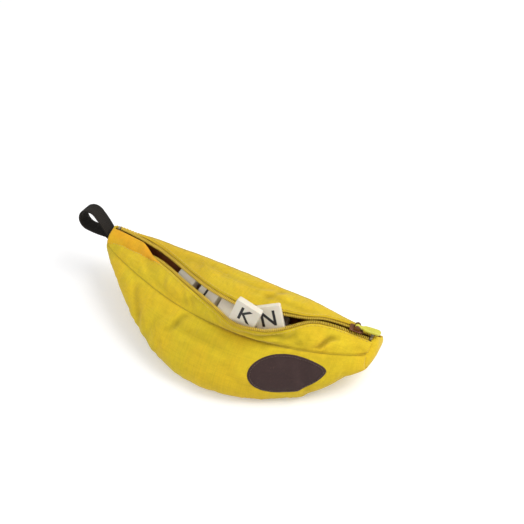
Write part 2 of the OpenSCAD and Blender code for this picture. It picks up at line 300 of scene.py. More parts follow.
@dataclass(frozen=True)
class CanvasFinish(Finish):
    """Plain woven cotton canvas with crossing threads, dyed a little unevenly, and darkened by painted shade
    where the fold attribute marks creases and seam valleys.
    """

    warm: Colour
    thread: float = 0.62
    bump: float = 0.11
    fold_shade: float = 0.42

    def make(self) -> Material:
        """Returns the material."""
        b = Board(self.name, {"Roughness": 0.86, "Sheen Weight": 0.16, "Sheen Roughness": 0.45,
                              "Specular IOR Level": 0.22})
        uv, where = b.cloth_place(), b.place()
        wander = b.noise(where, 5.0, 2.0) - 0.5
        u, v, _ = b.split(uv)
        warp, weft = u / (self.thread * MM) + 0.5 * wander, v / (self.thread * MM) - 0.5 * wander
        across, along = (warp.fract() * math.pi).sin(), (weft.fract() * math.pi).sin()
        over = (warp.floor() + weft.floor()) % 2.0
        weave = over * across * (0.55 + 0.45 * along) + (1 - over) * along * (0.55 + 0.45 * across)
        slub = 0.5 * b.streak(warp.floor(), 3.0) + 0.5 * b.streak(weft.floor(), 7.0)
        patches, mottle = b.noise(where, 34.0, 2.0), b.noise(where, 2.6, 4.0, 0.7)
        colour = b.mix(patches.step(0.32, 0.7), self.colour, self.warm)
        # Painted shade: points that the fold attribute marks, in creases and seam valleys, are darkened by
        # fold_shade.
        fold = b.attribute("fold")
        cloud = b.noise(where, 13.0, 3.0, 0.6)
        light = (0.80 + 0.2 * weave) * (0.94 + 0.12 * slub) * (0.86 + 0.28 * mottle) * (0.88 + 0.24 * cloud) \
            * (1 - self.fold_shade * fold)
        height = weave * (0.8 + 0.4 * slub) + 0.35 * mottle
        return b.finish(b.shade(colour, light), 0.8 + 0.14 * mottle, height, self.bump, 0.75)


@dataclass(frozen=True)
class RibbedFinish(Finish):
    """Heavy webbing or zip tape: fine diagonal ribs that run with the strip."""

    rib: float = 1.1
    slant: float = 0.5
    bump: float = 0.16
    worn: float = 0.25
    sheen: float = 0.2

    def make(self) -> Material:
        """Returns the material."""
        b = Board(self.name, {"Roughness": 0.8, "Sheen Weight": self.sheen, "Specular IOR Level": 0.25})
        u, v, _ = b.split(b.cloth_place())
        where = b.place()
        lane = v / (self.rib * MM)
        flip = (lane.floor() % 2.0) * 2 - 1
        pick = u / (0.55 * MM) + flip * lane.fract() * self.slant * 2
        groove = (lane.fract() * math.pi).sin()
        thread = (pick.fract() * math.pi).sin()
        height = groove * 0.65 + thread * 0.35 * groove
        mottle = b.noise(where, 1.6, 3.0, 0.7)
        light = (0.62 + 0.38 * groove) * (0.8 + 0.2 * thread) * (0.85 + 0.3 * mottle)
        pale = tuple(min(1.0, c * (1 + self.worn) + 0.04 * self.worn) for c in self.colour)
        colour = b.mix(height.step(0.72, 1.0) * mottle, self.colour, pale)
        return b.finish(b.shade(colour, light), 0.74 + 0.2 * mottle, height, self.bump, 0.9)


@dataclass(frozen=True)
class PatchFinish(Finish):
    """Dense patch cloth with a very fine twill."""

    fleck: Colour

    def make(self) -> Material:
        """Returns the material."""
        b = Board(self.name, {"Roughness": 0.7, "Sheen Weight": 0.12, "Specular IOR Level": 0.3})
        u, v, _ = b.split(b.cloth_place())
        where = b.place()
        twill = ((u + v) / (0.5 * MM)).fract()
        cross = ((v - u * 0.2) / (0.42 * MM)).fract()
        height = (twill * math.pi).sin() * 0.7 + (cross * math.pi).sin() * 0.3
        mottle = b.noise(where, 1.2, 4.0, 0.7)
        cloud = b.noise(where, 12.0, 2.0)
        colour = b.mix(mottle.step(0.56, 0.75) * height, self.colour, self.fleck)
        light = (0.72 + 0.28 * height) * (0.9 + 0.2 * cloud)
        return b.finish(b.shade(colour, light), 0.6 + 0.25 * mottle, height, 0.08, 0.8)


@dataclass(frozen=True)
class ThreadFinish(Finish):
    """Twisted sewing thread."""

    def make(self) -> Material:
        """Returns the material."""
        b = Board(self.name, {"Roughness": 0.55, "Sheen Weight": 0.3, "Specular IOR Level": 0.4})
        x, y, z = b.split(b.place())
        twist = ((x + y * 0.7 + z * 0.5) / (0.34 * MM)).fract()
        height = (twist * math.pi).sin()
        base = b.mix(height, tuple(0.72 * c for c in self.colour), self.colour)
        return b.finish(base, 0.5 + 0.2 * height, height, 0.06, 0.8)


@dataclass(frozen=True)
class MouldedFinish(Finish):
    """Moulded or painted part with a faint flow texture and rubbed spots."""

    rubbed: Colour
    roughness: float
    grain: float = 1.4
    metallic: float = 0.0
    coat: float = 0.0
    bump: float = 0.01

    def make(self) -> Material:
        """Returns the material."""
        b = Board(self.name, {"Metallic": self.metallic, "Coat Weight": self.coat, "Coat Roughness": 0.2,
                              "Specular IOR Level": 0.5})
        where = b.place()
        fine, broad = b.noise(where, self.grain, 4.0, 0.65), b.noise(where, self.grain * 7, 2.0)
        spots = fine.step(0.6, 0.78) * broad.step(0.45, 0.65)
        colour = b.mix(spots, self.colour, self.rubbed)
        light = 0.95 + 0.1 * broad
        return b.finish(b.shade(colour, light), self.roughness + 0.16 * (fine - 0.5) + 0.08 * broad,
                        fine, self.bump, 0.6)


@dataclass(frozen=True)
class TileFinish(Finish):
    """Satin ivory tile plastic, slightly warm, with handling marks."""

    name: str = "tile plastic"
    colour: Colour = (0.80, 0.75, 0.63)
    warm: Colour = (0.74, 0.66, 0.50)

    def make(self) -> Material:
        """Returns the material."""
        b = Board(self.name, {"Specular IOR Level": 0.45, "Coat Weight": 0.12, "Coat Roughness": 0.3,
                              "Subsurface Weight": 0.08, "Subsurface Scale": 0.002})
        where = b.place()
        cloud, fine = b.noise(where, 11.0, 3.0), b.noise(where, 0.7, 4.0, 0.7)
        scuff = b.noise(where, 2.2, 5.0, 0.75).step(0.62, 0.74)
        colour = b.mix(cloud.step(0.35, 0.75) * 0.7, self.colour, self.warm)
        light = 0.97 + 0.05 * fine - 0.05 * scuff
        return b.finish(b.shade(colour, light), 0.34 + 0.12 * fine + 0.12 * scuff, fine, 0.012, 0.5)


@dataclass(frozen=True)
class FloorFinish(Finish):
    """White table top that shows white to the camera and keeps the shadow."""

    name: str = "white table"
    colour: Colour = (0.86, 0.86, 0.87)
    lift: float = 0.24

    def make(self) -> Material:
        """Returns the material."""
        b = Board(self.name, {"Roughness": 0.9, "Specular IOR Level": 0.0, "Base Color": (*self.colour, 1)})
        path = b.add("ShaderNodeLightPath")
        seen = Value(b, path.outputs["Is Camera Ray"]).larger(Value(b, path.outputs["Is Glossy Ray"]))
        glow = b.add("ShaderNodeEmission", None, {"Color": (1.0, 1.0, 1.0), "Strength": seen * self.lift})
        both = b.add("ShaderNodeAddShader", None,
                     {0: Value(b, b.shader.outputs[0]), 1: Value(b, glow.outputs[0])})
        out = next(n for n in b.tree.nodes if n.type == "OUTPUT_MATERIAL")
        b.tree.links.new(both.outputs[0], out.inputs["Surface"])
        return b.material


def made(finish: Finish) -> Any:
    """Returns a field that holds the finish's material."""
    return field(default_factory=finish.make)


@dataclass
class Finishes:
    """Every material of the pouch."""

    canvas: Material = made(CanvasFinish("yellow canvas", (0.78, 0.585, 0.022), (0.83, 0.56, 0.020)))
    # Painted shade: a darker, more orange copy of the same canvas for the back upper panel.
    shaded_back_canvas: Material = made(CanvasFinish("back canvas", (0.74, 0.53, 0.022), (0.78, 0.50, 0.020)))
    flap: Material = made(CanvasFinish(
        "golden flap cloth", (0.86, 0.52, 0.020), (0.88, 0.42, 0.018), 0.5, 0.07))
    # Painted shade: the inner faces are the same yellow canvas, coloured dark red-brown for the shade inside
    # the pouch.
    shaded_inner_face: Material = made(CanvasFinish(
        "shaded inner face", (0.62, 0.20, 0.07), (0.50, 0.15, 0.055), 0.62, 0.1))
    tape: Material = made(RibbedFinish("zip tape", (0.78, 0.53, 0.03), 0.7, 0.5, 0.08, 0.1))
    webbing: Material = made(RibbedFinish("black webbing", (0.017, 0.013, 0.010), 1.25, 0.7, 0.3, 1.2, 0.02))
    patch: Material = made(PatchFinish("brown patch", (0.052, 0.026, 0.024), (0.13, 0.075, 0.06)))
    thread: Material = made(ThreadFinish("yellow thread", (0.80, 0.58, 0.05)))
    brown_thread: Material = made(ThreadFinish("brown thread", (0.085, 0.045, 0.035)))
    coil: Material = made(MouldedFinish("nylon coil", (0.76, 0.53, 0.045), (0.82, 0.66, 0.2), 0.36, 0.6))
    # Painted shade: the slider's dark red-brown base colour stands for the shade on it; the rubbed spots are
    # wear.
    slider: Material = made(MouldedFinish(
        "slider enamel", (0.15, 0.045, 0.012), (0.42, 0.28, 0.14), 0.36, 0.9, 0.25, 0.12))
    pull: Material = made(MouldedFinish(
        "pull enamel", (0.62, 0.58, 0.05), (0.7, 0.68, 0.3), 0.34, 1.0, 0.0, 0.25))
    steel: Material = made(MouldedFinish("stop metal", (0.34, 0.30, 0.22), (0.5, 0.46, 0.38), 0.42, 0.5, 0.8))
    tile: Material = made(TileFinish())
    ink: Material = made(MouldedFinish(
        "stamped ink", (0.012, 0.011, 0.011), (0.05, 0.045, 0.04), 0.5, 0.6, 0.0, 0.0, 0.02))


# ---------------------------------------------------------------- the pouch's ridge lines


def between(a: Any, b: Any, t: Any) -> Any:
    """Returns the value a share t of the way from a to b."""
    return a + (b - a) * t


def ease(t: Any) -> Any:
    """Returns a smooth 0 to 1 climb."""
    c = np.clip(t, 0, 1)
    return c * c * (3 - 2 * c)


def bell(u: Any, skew: float, sharp: Any) -> Any:
    """Returns a hump that is 0 at both ends of the pouch."""
    return np.maximum(np.sin(np.pi * np.clip(u, 0, 1) ** skew), 0) ** sharp


def hump(t: Any) -> Any:
    """Returns a soft hump over 0 to 1."""
    return np.maximum(np.sin(np.pi * np.clip(t, 0, 1)), 0) ** 1.5


def unit(v: Array) -> Array:
    """Returns vectors at length 1."""
    return v / np.maximum(np.linalg.norm(v, axis=-1, keepdims=True), 1e-9)


def point(x: Any, y: Any, z: Any) -> Array:
    """Returns points from their three parts."""
    return np.stack(np.broadcast_arrays(x, y, z), axis=-1).astype(float)


@dataclass(frozen=True)
class PouchForm:
    """The pouch's seams, lips and walls as functions of u, from 0 at the stem end to 1 at the tip."""

    length: float = 216
    belly_bow: float = 60
    stem_lift: float = 25
    tip_lift: float = 20
    stem_swell: float = 3.4
    seam_bow: float = 34
    back_rise: float = 20.5
    zip_bow: float = 40
    mouth_gap: float = 13
    chain_half: float = 1.1
    chain_space: float = 1.0
    tape_show: float = 2.4
    stem_lean: float = 40
    tip_lean: float = -5
    open_lean: float = 6

    def x(self, u: Any) -> Any:
        """Returns the place along the pouch."""
        return between(-self.length / 2, self.length / 2, u)

    def floor(self, u: Any) -> Any:
        """Returns the height of the underside."""
        return self.stem_lift * ease(1 - u / 0.464) + self.tip_lift * ease((u - 0.82) / 0.18)

    def front_seam(self, u: Any) -> Array:
        """Returns points of the front side seam."""
        b = bell(u, 1.15, 0.8)
        return point(self.x(u), 23 - self.seam_bow * b, between(33, 29, u) + 7.5 * b)

    def back_seam(self, u: Any) -> Array:
        """Returns points of the back side seam."""
        b = bell(u, 1, 0.8)
        return point(self.x(u) + 2 * ease((u - 0.75) / 0.25),
                     between(40, 42, u) - 9.5 * b + 1.2 * hump(u / 0.3),
                     between(33, 28, u) + self.back_rise * b + 1.6 * hump((u - 0.66) / 0.22))

    def bottom_seam(self, u: Any) -> Array:
        """Returns points of the seam underneath."""
        return point(self.x(u) + 3 * ease((u - 0.75) / 0.25), between(30, 33, u) - 30 * bell(u, 1, 0.8),
                     self.floor(u))

    def belly(self, u: Any) -> Any:
        """Returns how far forward the front wall reaches."""
        fuller = self.stem_swell * np.sin(np.pi * np.clip((u + 0.05) / 0.56, 0, 1))
        return between(23, 16, u) - self.belly_bow * bell(u, 1.142, 0.883) - fuller

    def zip_line(self, u: Any) -> Array:
        """Returns points midway between the lips."""
        b = bell(u, 1.4, between(1.35, 2.3, u))
        a = np.radians(129 + 28 * b ** 1.6)
        r, droop = self.zip_bow * b, 3.05 * hump((u - 0.204) / 0.35) + 1.75 * hump((u - 0.66) / 0.18)
        return point(self.x(u), between(29, 35, u) + r * np.cos(a) - droop,
                     between(38, 33, u) + r * np.sin(a) - droop)

    def gape(self, u: Any) -> Any:
        """Returns how far the mouth is open, from 0 to 1."""
        mouth = np.maximum(np.sin(np.pi * np.clip((u - 0.25) / 0.555, 0, 1) ** 2.6), 0) ** 1.2
        return mouth + 0.22 * ease(u / 0.2) * (1 - ease((u - 0.34) / 0.2))

    def lip_angle(self, u: Any) -> Any:
        """Returns the tilt of the line across the mouth, in radians."""
        closed = between(self.stem_lean, self.tip_lean, ease((u - 0.6) / 0.2))
        return np.radians(between(closed, self.open_lean, self.gape(u)))

    def lip(self, u: Any, side: Side) -> Array:
        """Returns points of one lip, along the middle of its teeth."""
        a, s = self.lip_angle(u), side.value
        reach = s * (self.mouth_gap * self.gape(u) / 2 + self.chain_space + self.chain_half)
        lift = ease(1 - u / 0.25) if side is Side.BACK else np.zeros_like(np.asarray(u, float))
        across = point(0, np.cos(a), np.sin(a))
        return self.zip_line(u) + reach[..., None] * across + lift[..., None] * np.array([0, 5, 3])

    def side_seam(self, u: Any, side: Side) -> Array:
        """Returns points of the side seam that an upper panel ends at."""
        return self.front_seam(u) if side is Side.FRONT else self.back_seam(u)

    def tape_width(self, u: Any, side: Side) -> Any:
        """Returns the width of zip tape that shows."""
        room = np.linalg.norm(self.lip(u, side) - self.side_seam(u, side), axis=-1) - 2
        return np.minimum(self.tape_show, 0.3 * room)

    def top(self, u: Any, d: Any, side: Side, swell: float) -> Array:
        """Returns points of an upper panel.

        Args:
            u: Place along the pouch.
            d: Distance from the lip towards the side seam, in millimetres.
            side: Which panel.
            swell: How far the panel bulges, in millimetres.

        Returns:
            The points.
        """
        lip, seam = self.lip(u, side), self.side_seam(u, side)
        w = np.linalg.norm(seam - lip, axis=-1)
        k = (d / w)[..., None]
        out = unit(np.cross([1.0, 0, 0], seam - lip))
        bulge = (swell * np.minimum(1, w / 25))[..., None]
        return lip + (seam - lip) * k + side.value * out * bulge * 4 * k * (1 - k)

    def wall(self, u: Any, t: Any, side: Side, edge: float) -> Array:
        """Returns points of a lower panel.

        Args:
            u: Place along the pouch.
            t: From 0 at the side seam to 1 at the bottom seam.
            side: Which panel.
            edge: Distance from the side seam to the cloth's edge, in millimetres.

        Returns:
            The points.
        """
        a, d = self.side_seam(u, side), self.bottom_seam(u)
        h = a[..., 2] - d[..., 2]
        if side is Side.FRONT:
            y = self.belly(u)
            b = point(a[..., 0], y, d[..., 2] + 0.6 * h)
            c = point(d[..., 0], y - 0.77 * (a[..., 1] - y), d[..., 2] - 0.22 * h)
        else:
            b = point(a[..., 0], a[..., 1] + 5, d[..., 2] + 0.6 * h)
            c = point(d[..., 0], a[..., 1] + 6, d[..., 2] - 0.15 * h)
        first = np.minimum(0.35, edge / (3 * np.linalg.norm(b - a, axis=-1)))
        t = between(first, 0.999, t)[..., None]
        s = 1 - t
        p = s ** 3 * a + 3 * s * s * t * b + 3 * s * t * t * c + t ** 3 * d
        p[..., 2] = np.maximum(p[..., 2], d[..., 2])
        return p


# ---------------------------------------------------------------- meshes


def ripple(p: Array, longest: float, shortest: float, seed: int, waves: int = 14) -> Array:
    """Returns smooth random values at flat points.

    Args:
        p: Points of any shape, with two numbers each, in millimetres.
        longest: The longest wave.
        shortest: The shortest wave.
        seed: Chooses the pattern.
        waves: How many waves are added.

    Returns:
        Values that spread about 0 with a deviation near 1.
    """
    rng = np.random.default_rng(seed)
    total = np.zeros(p.shape[:-1])
    for _ in range(waves):
        size = longest * (shortest / longest) ** rng.uniform()
        angle, phase = rng.uniform(0, 2 * np.pi, 2)
        total += np.sin(2 * np.pi / size * (p[..., 0] * np.cos(angle) + p[..., 1] * np.sin(angle)) + phase)
    return total / math.sqrt(waves / 2)


def grid_normals(g: Array) -> Array:
    """Returns the normals of a grid of points, from its first direction crossed with its second."""
    return unit(np.cross(np.gradient(g, axis=0), np.gradient(g, axis=1)))


def steps_along(g: Array, axis: int) -> Array:
    """Returns the distance along the grid's lines in one direction."""
    d = np.linalg.norm(np.diff(g, axis=axis), axis=-1)
    return np.insert(np.cumsum(d, axis=axis), 0, 0, axis=axis)


def rotated(degrees: float, axis: str) -> Matrix:
    """Returns the rotation by an angle about an axis."""
    return Matrix.Rotation(math.radians(degrees), 4, axis)


def arc(x: float, y: float, radius: float, angles: Array) -> list[tuple[float, float]]:
    """Returns the points of a circle at some angles."""
    return [(x + radius * math.cos(a), y + radius * math.sin(a)) for a in angles]


def mirrored(half: list[tuple[float, float]]) -> list[tuple[float, float]]:
    """Returns the anticlockwise outline whose upper half, from left to right, is given."""
    return (half + [(x, -y) for x, y in reversed(half)])[::-1]


def placed(name: str, data: bpy.types.ID) -> Piece:
    """Returns a new object in the scene, at the origin, with this data."""
    obj = bpy.data.objects.new(name, data)
    bpy.context.scene.collection.objects.link(obj)
    return obj


def uv_grid(low: float, high: float, rows: int, columns: int) -> list[Array]:
    """Returns u from low to high down the rows, and v from 0 to 1 along the columns."""
    return np.meshgrid(np.linspace(low, high, rows), np.linspace(0, 1, columns), indexing="ij")


def flattened(g: Array) -> Array:
    """Returns each grid point's place on the flat cloth, along and across it."""
    return np.stack([steps_along(g, 0), steps_along(g, 1)], -1)


def facing(g: Array, way: Sequence[float]) -> int:
    """Returns 1 if the normal at the middle of a grid points the given way, else -1."""
    middle = grid_normals(g)[g.shape[0] // 2, g.shape[1] // 2]
    return 1 if float(middle @ np.array(way, float)) > 0 else -1


def make_object(name: str, points: Array, faces: Sequence[Sequence[int]],
                materials: Sequence[Material], smooth: bool = True) -> Piece:
    """Makes a mesh object.

    Args:
        name: Its name.
        points: Its points, in millimetres.
        faces: Its faces.
        materials: Its materials.
        smooth: Whether its faces are shaded smooth.

    Returns:
        The object, at the origin.
    """
    mesh = bpy.data.meshes.new(name)
    mesh.from_pydata((np.asarray(points, float) * MM).tolist(), [], [list(map(int, f)) for f in faces])
    mesh.update()
    for material in materials:
        mesh.materials.append(material)
    if smooth:
        mesh.shade_smooth()
    return placed(name, mesh)


def set_points(mesh: bpy.types.Mesh, name: str, values: Array, kind: str = "FLOAT") -> None:
    """Stores values on a mesh's points.

    Args:
        mesh: The mesh.
        name: The attribute's name.
        values: One number or vector a point.
        kind: FLOAT or FLOAT_VECTOR.
    """
    attribute = mesh.attributes.new(name, kind, "POINT")
    key = "value" if kind == "FLOAT" else "vector"
    attribute.data.foreach_set(key, np.asarray(values, np.float32).ravel())


def set_uv(mesh: bpy.types.Mesh, uv: Array) -> None:
    """Gives a mesh its cloth coordinates, two numbers a point, in metres."""
    layer = mesh.uv_layers.new(name="Cloth")
    corner = np.zeros(len(mesh.loops), np.int32)
    mesh.loops.foreach_get("vertex_index", corner)
    layer.uv.foreach_set("vector", np.asarray(uv, np.float32)[corner].ravel())


def turned_outward(obj: Piece, merge: float = 0.0) -> Piece:
    """Makes a closed mesh's faces point outwards, after merging its doubles."""
    bm = bmesh.new()
    bm.from_mesh(obj.data)
    if merge:
        bmesh.ops.remove_doubles(bm, verts=bm.verts, dist=merge * MM)
    bmesh.ops.recalc_face_normals(bm, faces=bm.faces)
    bm.to_mesh(obj.data)
    bm.free()
    return obj


def rounded_piece(name: str, bm: bmesh.types.BMesh, edges: Sequence[bmesh.types.BMEdge], bevel: float,
                  segments: int = 3, where: Matrix | None = None) -> Piece:
    """Rounds edges of a solid and makes it a smooth piece.

    Args:
        name: The piece's name.
        bm: The solid, which is freed.
        edges: The edges to round.
        bevel: Their radius, in millimetres.
        segments: How many steps the rounding has.
        where: The frame that the solid is moved to.

    Returns:
        The piece.
    """
    bmesh.ops.bevel(bm, geom=edges, offset=bevel * MM, segments=segments, affect="EDGES", profile=0.5)
    if where is not None:
        bmesh.ops.transform(bm, matrix=where, verts=bm.verts)
    mesh = bpy.data.meshes.new(name)
    bm.to_mesh(mesh)
    bm.free()
    mesh.shade_smooth()
    return placed(name, mesh)


def quads(nu: int, nv: int, start: int = 0, flip: bool = False, ring: bool = False) -> list[list[int]]:
    """Returns the faces of a grid.

    Args:
        nu: Its rows of points.
        nv: Its columns of points.
        start: Its first point's number.
        flip: Whether the faces point the other way.
        ring: Whether the last column joins the first.

    Returns:
        The faces.
    """
    faces = []
    for i in range(nu - 1):
        for j in range(nv if ring else nv - 1):
            k = (j + 1) % nv
            f = [start + i * nv + j, start + (i + 1) * nv + j, start + (i + 1) * nv + k, start + i * nv + k]
            faces.append(f[::-1] if flip else f)
    return faces


def sheet_mesh(name: str, g: Array, thick: float, materials: Sequence[Material], fold: Array,
               uv: Array, outward: int) -> Piece:
    """Makes a closed sheet of cloth from a grid of points on its outer face.

    Args:
        name: The piece's name.
        g: The grid.
        thick: The cloth's thickness.
        materials: The outer and the inner material.
        fold: How deep in a fold each point lies, from 0 to 1; the canvas finish darkens by it as painted shade.
        uv: The points' places on the flat cloth, in millimetres.
        outward: 1 where the grid's normals point out of the pouch, else -1.

    Returns:
        The piece.
    """
    nu, nv = g.shape[:2]
    inner = g - outward * thick * grid_normals(g)
    n = nu * nv
    outer_faces = quads(nu, nv, 0, outward < 0)
    inner_faces = quads(nu, nv, n, outward > 0)
    last = (nu - 1) * nv
    edge = [[i * nv, (i + 1) * nv] for i in range(nu - 1)]
    edge += [[(i + 1) * nv + nv - 1, i * nv + nv - 1] for i in range(nu - 1)]
    edge += [[j + 1, j] for j in range(nv - 1)] + [[last + j, last + j + 1] for j in range(nv - 1)]
    rim = [[a, n + a, n + b, b] if outward > 0 else [b, n + b, n + a, a] for a, b in edge]
    obj = make_object(name, np.concatenate([g.reshape(-1, 3), inner.reshape(-1, 3)]),
                      outer_faces + inner_faces + rim, materials)
    index = np.zeros(len(obj.data.polygons), np.int32)
    index[len(outer_faces):len(outer_faces) + len(inner_faces)] = len(materials) - 1
    obj.data.polygons.foreach_set("material_index", index)
    flat = uv.reshape(-1, 2) * MM
    set_uv(obj.data, np.concatenate([flat, flat + np.array([0, 0.4])]))
    set_points(obj.data, "fold", np.concatenate([fold.ravel(), fold.ravel()]))
    return turned_outward(obj)


def tube_mesh(name: str, path: Array, radii: Array, sides: int,
              materials: Sequence[Material]) -> Piece:
    """Makes a closed round bar along a path.

    Args:
        name: The piece's name.
        path: Points along it.
        radii: A radius for each point.
        sides: How many sides it has.
        materials: Its materials.

    Returns:
        The piece.
    """
    along = unit(np.gradient(path, axis=0))
    side = unit(np.cross(along, [0.0, 0.3, 1.0]))
    up = np.cross(side, along)
    a = np.arange(sides) * 2 * np.pi / sides
    rings = path[:, None] + radii[:, None, None] * (np.cos(a)[None, :, None] * side[:, None]
                                                    + np.sin(a)[None, :, None] * up[:, None])
    n = len(path)
    faces = quads(n, sides, ring=True) + [list(range(sides)), list(range((n - 1) * sides, n * sides))[::-1]]
    obj = turned_outward(make_object(name, rings.reshape(-1, 3), faces, materials))
    length = steps_along(path[:, None], 0)
    uv = np.stack(np.broadcast_arrays(length, (radii[:, None] * a[None])), -1).reshape(-1, 2)
    set_uv(obj.data, uv * MM)
    return obj


# ---------------------------------------------------------------- rows along a line, in Geometry Nodes


class RowTree:
    """A Geometry Nodes tree that sets one small shape at even steps along a line.

    The line's points carry "lift", the direction in which the shape stands up.
    """

    def __init__(self) -> None:
        """Builds the tree."""
        tree = self.tree = bpy.data.node_groups.new("row along a line", "GeometryNodeTree")
        for name, way, kind in (("Line", "INPUT", "Geometry"), ("Shape", "INPUT", "Object"),
                                ("Pitch", "INPUT", "Float"), ("Unevenness", "INPUT", "Float"),
                                ("Seed", "INPUT", "Int"), ("Finish", "INPUT", "Material"),
                                ("Row", "OUTPUT", "Geometry")):
            tree.interface.new_socket(name, in_out=way, socket_type="NodeSocket" + kind)
        kinds = {"start": "NodeGroupInput", "end": "NodeGroupOutput", "curve": "GeometryNodeMeshToCurve",
                 "steps": "GeometryNodeResampleCurve", "put": "GeometryNodeInstanceOnPoints",
                 "lift": "GeometryNodeInputNamedAttribute", "tangent": "GeometryNodeInputTangent",
                 "axes": "FunctionNodeAxesToRotation", "shape": "GeometryNodeObjectInfo",
                 "real": "GeometryNodeRealizeInstances", "paint": "GeometryNodeSetMaterial",
                 "uneven": "FunctionNodeRandomValue", "low": "ShaderNodeMath", "high": "ShaderNodeMath"}
        node = {name: tree.nodes.new(kind) for name, kind in kinds.items()}
        node["steps"].mode = "LENGTH"
        node["lift"].data_type = "FLOAT_VECTOR"
        node["lift"].inputs["Name"].default_value = "lift"
        node["axes"].primary_axis, node["axes"].secondary_axis = "Z", "X"
        node["uneven"].data_type = "FLOAT"
        for name, operation in (("low", "SUBTRACT"), ("high", "ADD")):
            node[name].operation = operation
            node[name].inputs[0].default_value = 1.0
        for source, out, target, into in (
                ("start", "Line", "curve", "Mesh"), ("curve", 0, "steps", "Curve"),
                ("start", "Pitch", "steps", "Length"), ("steps", 0, "put", "Points"),
                ("start", "Shape", "shape", "Object"), ("shape", "Geometry", "put", "Instance"),
                ("lift", 0, "axes", "Primary Axis"), ("tangent", 0, "axes", "Secondary Axis"),
                ("axes", 0, "put", "Rotation"), ("start", "Unevenness", "low", 1),
                ("start", "Unevenness", "high", 1), ("low", 0, "uneven", 2), ("high", 0, "uneven", 3),
                ("start", "Seed", "uneven", "Seed"), ("uneven", 1, "put", "Scale"), ("put", 0, "real", 0),
                ("real", 0, "paint", "Geometry"), ("start", "Finish", "paint", "Material"),
                ("paint", 0, "end", "Row")):
            tree.links.new(node[source].outputs[out], node[target].inputs[into])

    def lay(self, name: str, line: Array, lift: Array, shape: Piece, pitch: float,
            finish: Material, uneven: float = 0.0, seed: int = 1) -> Piece:
        """Lays a row and makes it a plain mesh.

        Args:
            name: The piece's name.
            line: The line's points, in millimetres.
            lift: The upward direction at each.
            shape: The small shape; X lies along the line and Z stands up.
            pitch: The step, in millimetres.
            finish: Its material.
            uneven: How much the sizes differ.
            seed: Chooses the differences.

        Returns:
            The piece.
        """
        mesh = bpy.data.meshes.new(name + "_line")
        mesh.from_pydata((line * MM).tolist(), [(i, i + 1) for i in range(len(line) - 1)], [])
        set_points(mesh, "lift", lift, "FLOAT_VECTOR")
        carrier = placed(name + "_line", mesh)
        modifier = carrier.modifiers.new("row", "NODES")
        modifier.node_group = self.tree
        sockets = {s.name: s.identifier for s in self.tree.interface.items_tree if s.in_out == "INPUT"}
        for key, value in (("Shape", shape), ("Pitch", pitch * MM), ("Unevenness", uneven),
                           ("Seed", seed), ("Finish", finish)):
            modifier[sockets[key]] = value
        return plain_mesh(carrier, name)


def plain_mesh(source: Piece, name: str) -> Piece:
    """Turns an object with its modifiers into a plain mesh object, and removes the source."""
    graph = bpy.context.evaluated_depsgraph_get()
    graph.update()
    mesh = bpy.data.meshes.new_from_object(source.evaluated_get(graph), depsgraph=graph)
    mesh.name = name
    bpy.data.objects.remove(source)
    return placed(name, mesh)


def joined(name: str, parts: Sequence[Piece], paint: Material) -> Piece:
    """Joins objects into one piece with one material."""
    with bpy.context.temp_override(active_object=parts[0], selected_editable_objects=list(parts)):
        bpy.ops.object.join()
    parts[0].name = parts[0].data.name = name
    parts[0].data.materials.clear()
    parts[0].data.materials.append(paint)
    return parts[0]


def hand_in(piece: Piece, body: str, slot: str, *nodes: str) -> Piece:
    """Sets the body a piece rides on, hides the solids that it stands for and logs its faces.

    Args:
        piece: The piece.
        body: The body.
        slot: Not used.
        nodes: The solids.

    Returns:
        The piece.
    """
    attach(piece, body)
    if nodes:
        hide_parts(*nodes)
    LOG.info("%s on %s: %d faces", piece.name, body, len(piece.data.polygons))
    return piece


# ---------------------------------------------------------------- cloth


def cell_area(points: Array) -> float:
    """Returns the area of a grid of points, in the grid's units squared."""
    cells = np.cross(np.gradient(points, axis=0), np.gradient(points, axis=1))
    return float(np.linalg.norm(cells, axis=-1).sum())


def declare_sheet(width: float, length: float, area: float) -> None:
    """Clamps the width and area of a flat cut of cloth; nothing is kept.

    Args:
        width: Width of the flat cut, in millimetres.
        length: Length of the flat cut, in millimetres.
        area: Area of the flat cut, in square millimetres.
    """
    width = max(width, SHEET_WIDTH)
    area = min(max(area, SHEET_FILL * width * length), width * length)


def declare_grid(flat: Array, points: Array) -> None:
    """Works out a grid's flat size and area and passes them to declare_sheet."""
    declare_sheet(float(flat[..., 1].max()), float(flat[-1, 0, 0]), cell_area(points))


@dataclass(frozen=True)
class Fold:
    """One crease of the cloth, by its place on the flat panel in millimetres."""

    along: float
    across: float
    angle: float
    length: float
    width: float
    depth: float

    def height(self, p: Array) -> Array:
        """Returns how far the fold moves the cloth outwards.

        Args:
            p: Points on the flat panel.

        Returns:
            The height at each point.
        """
        a = math.radians(self.angle)
        d = p - np.array([self.along, self.across])
        s = (d[..., 0] * math.cos(a) + d[..., 1] * math.sin(a)) / self.length
        w = (-d[..., 0] * math.sin(a) + d[..., 1] * math.cos(a) + 1.5 * np.sin(3 * s)) / self.width
        return self.depth * np.exp(-s ** 4) * (np.exp(-w * w) - 0.55 * np.exp(-((w - 1.5) / 1.1) ** 2))


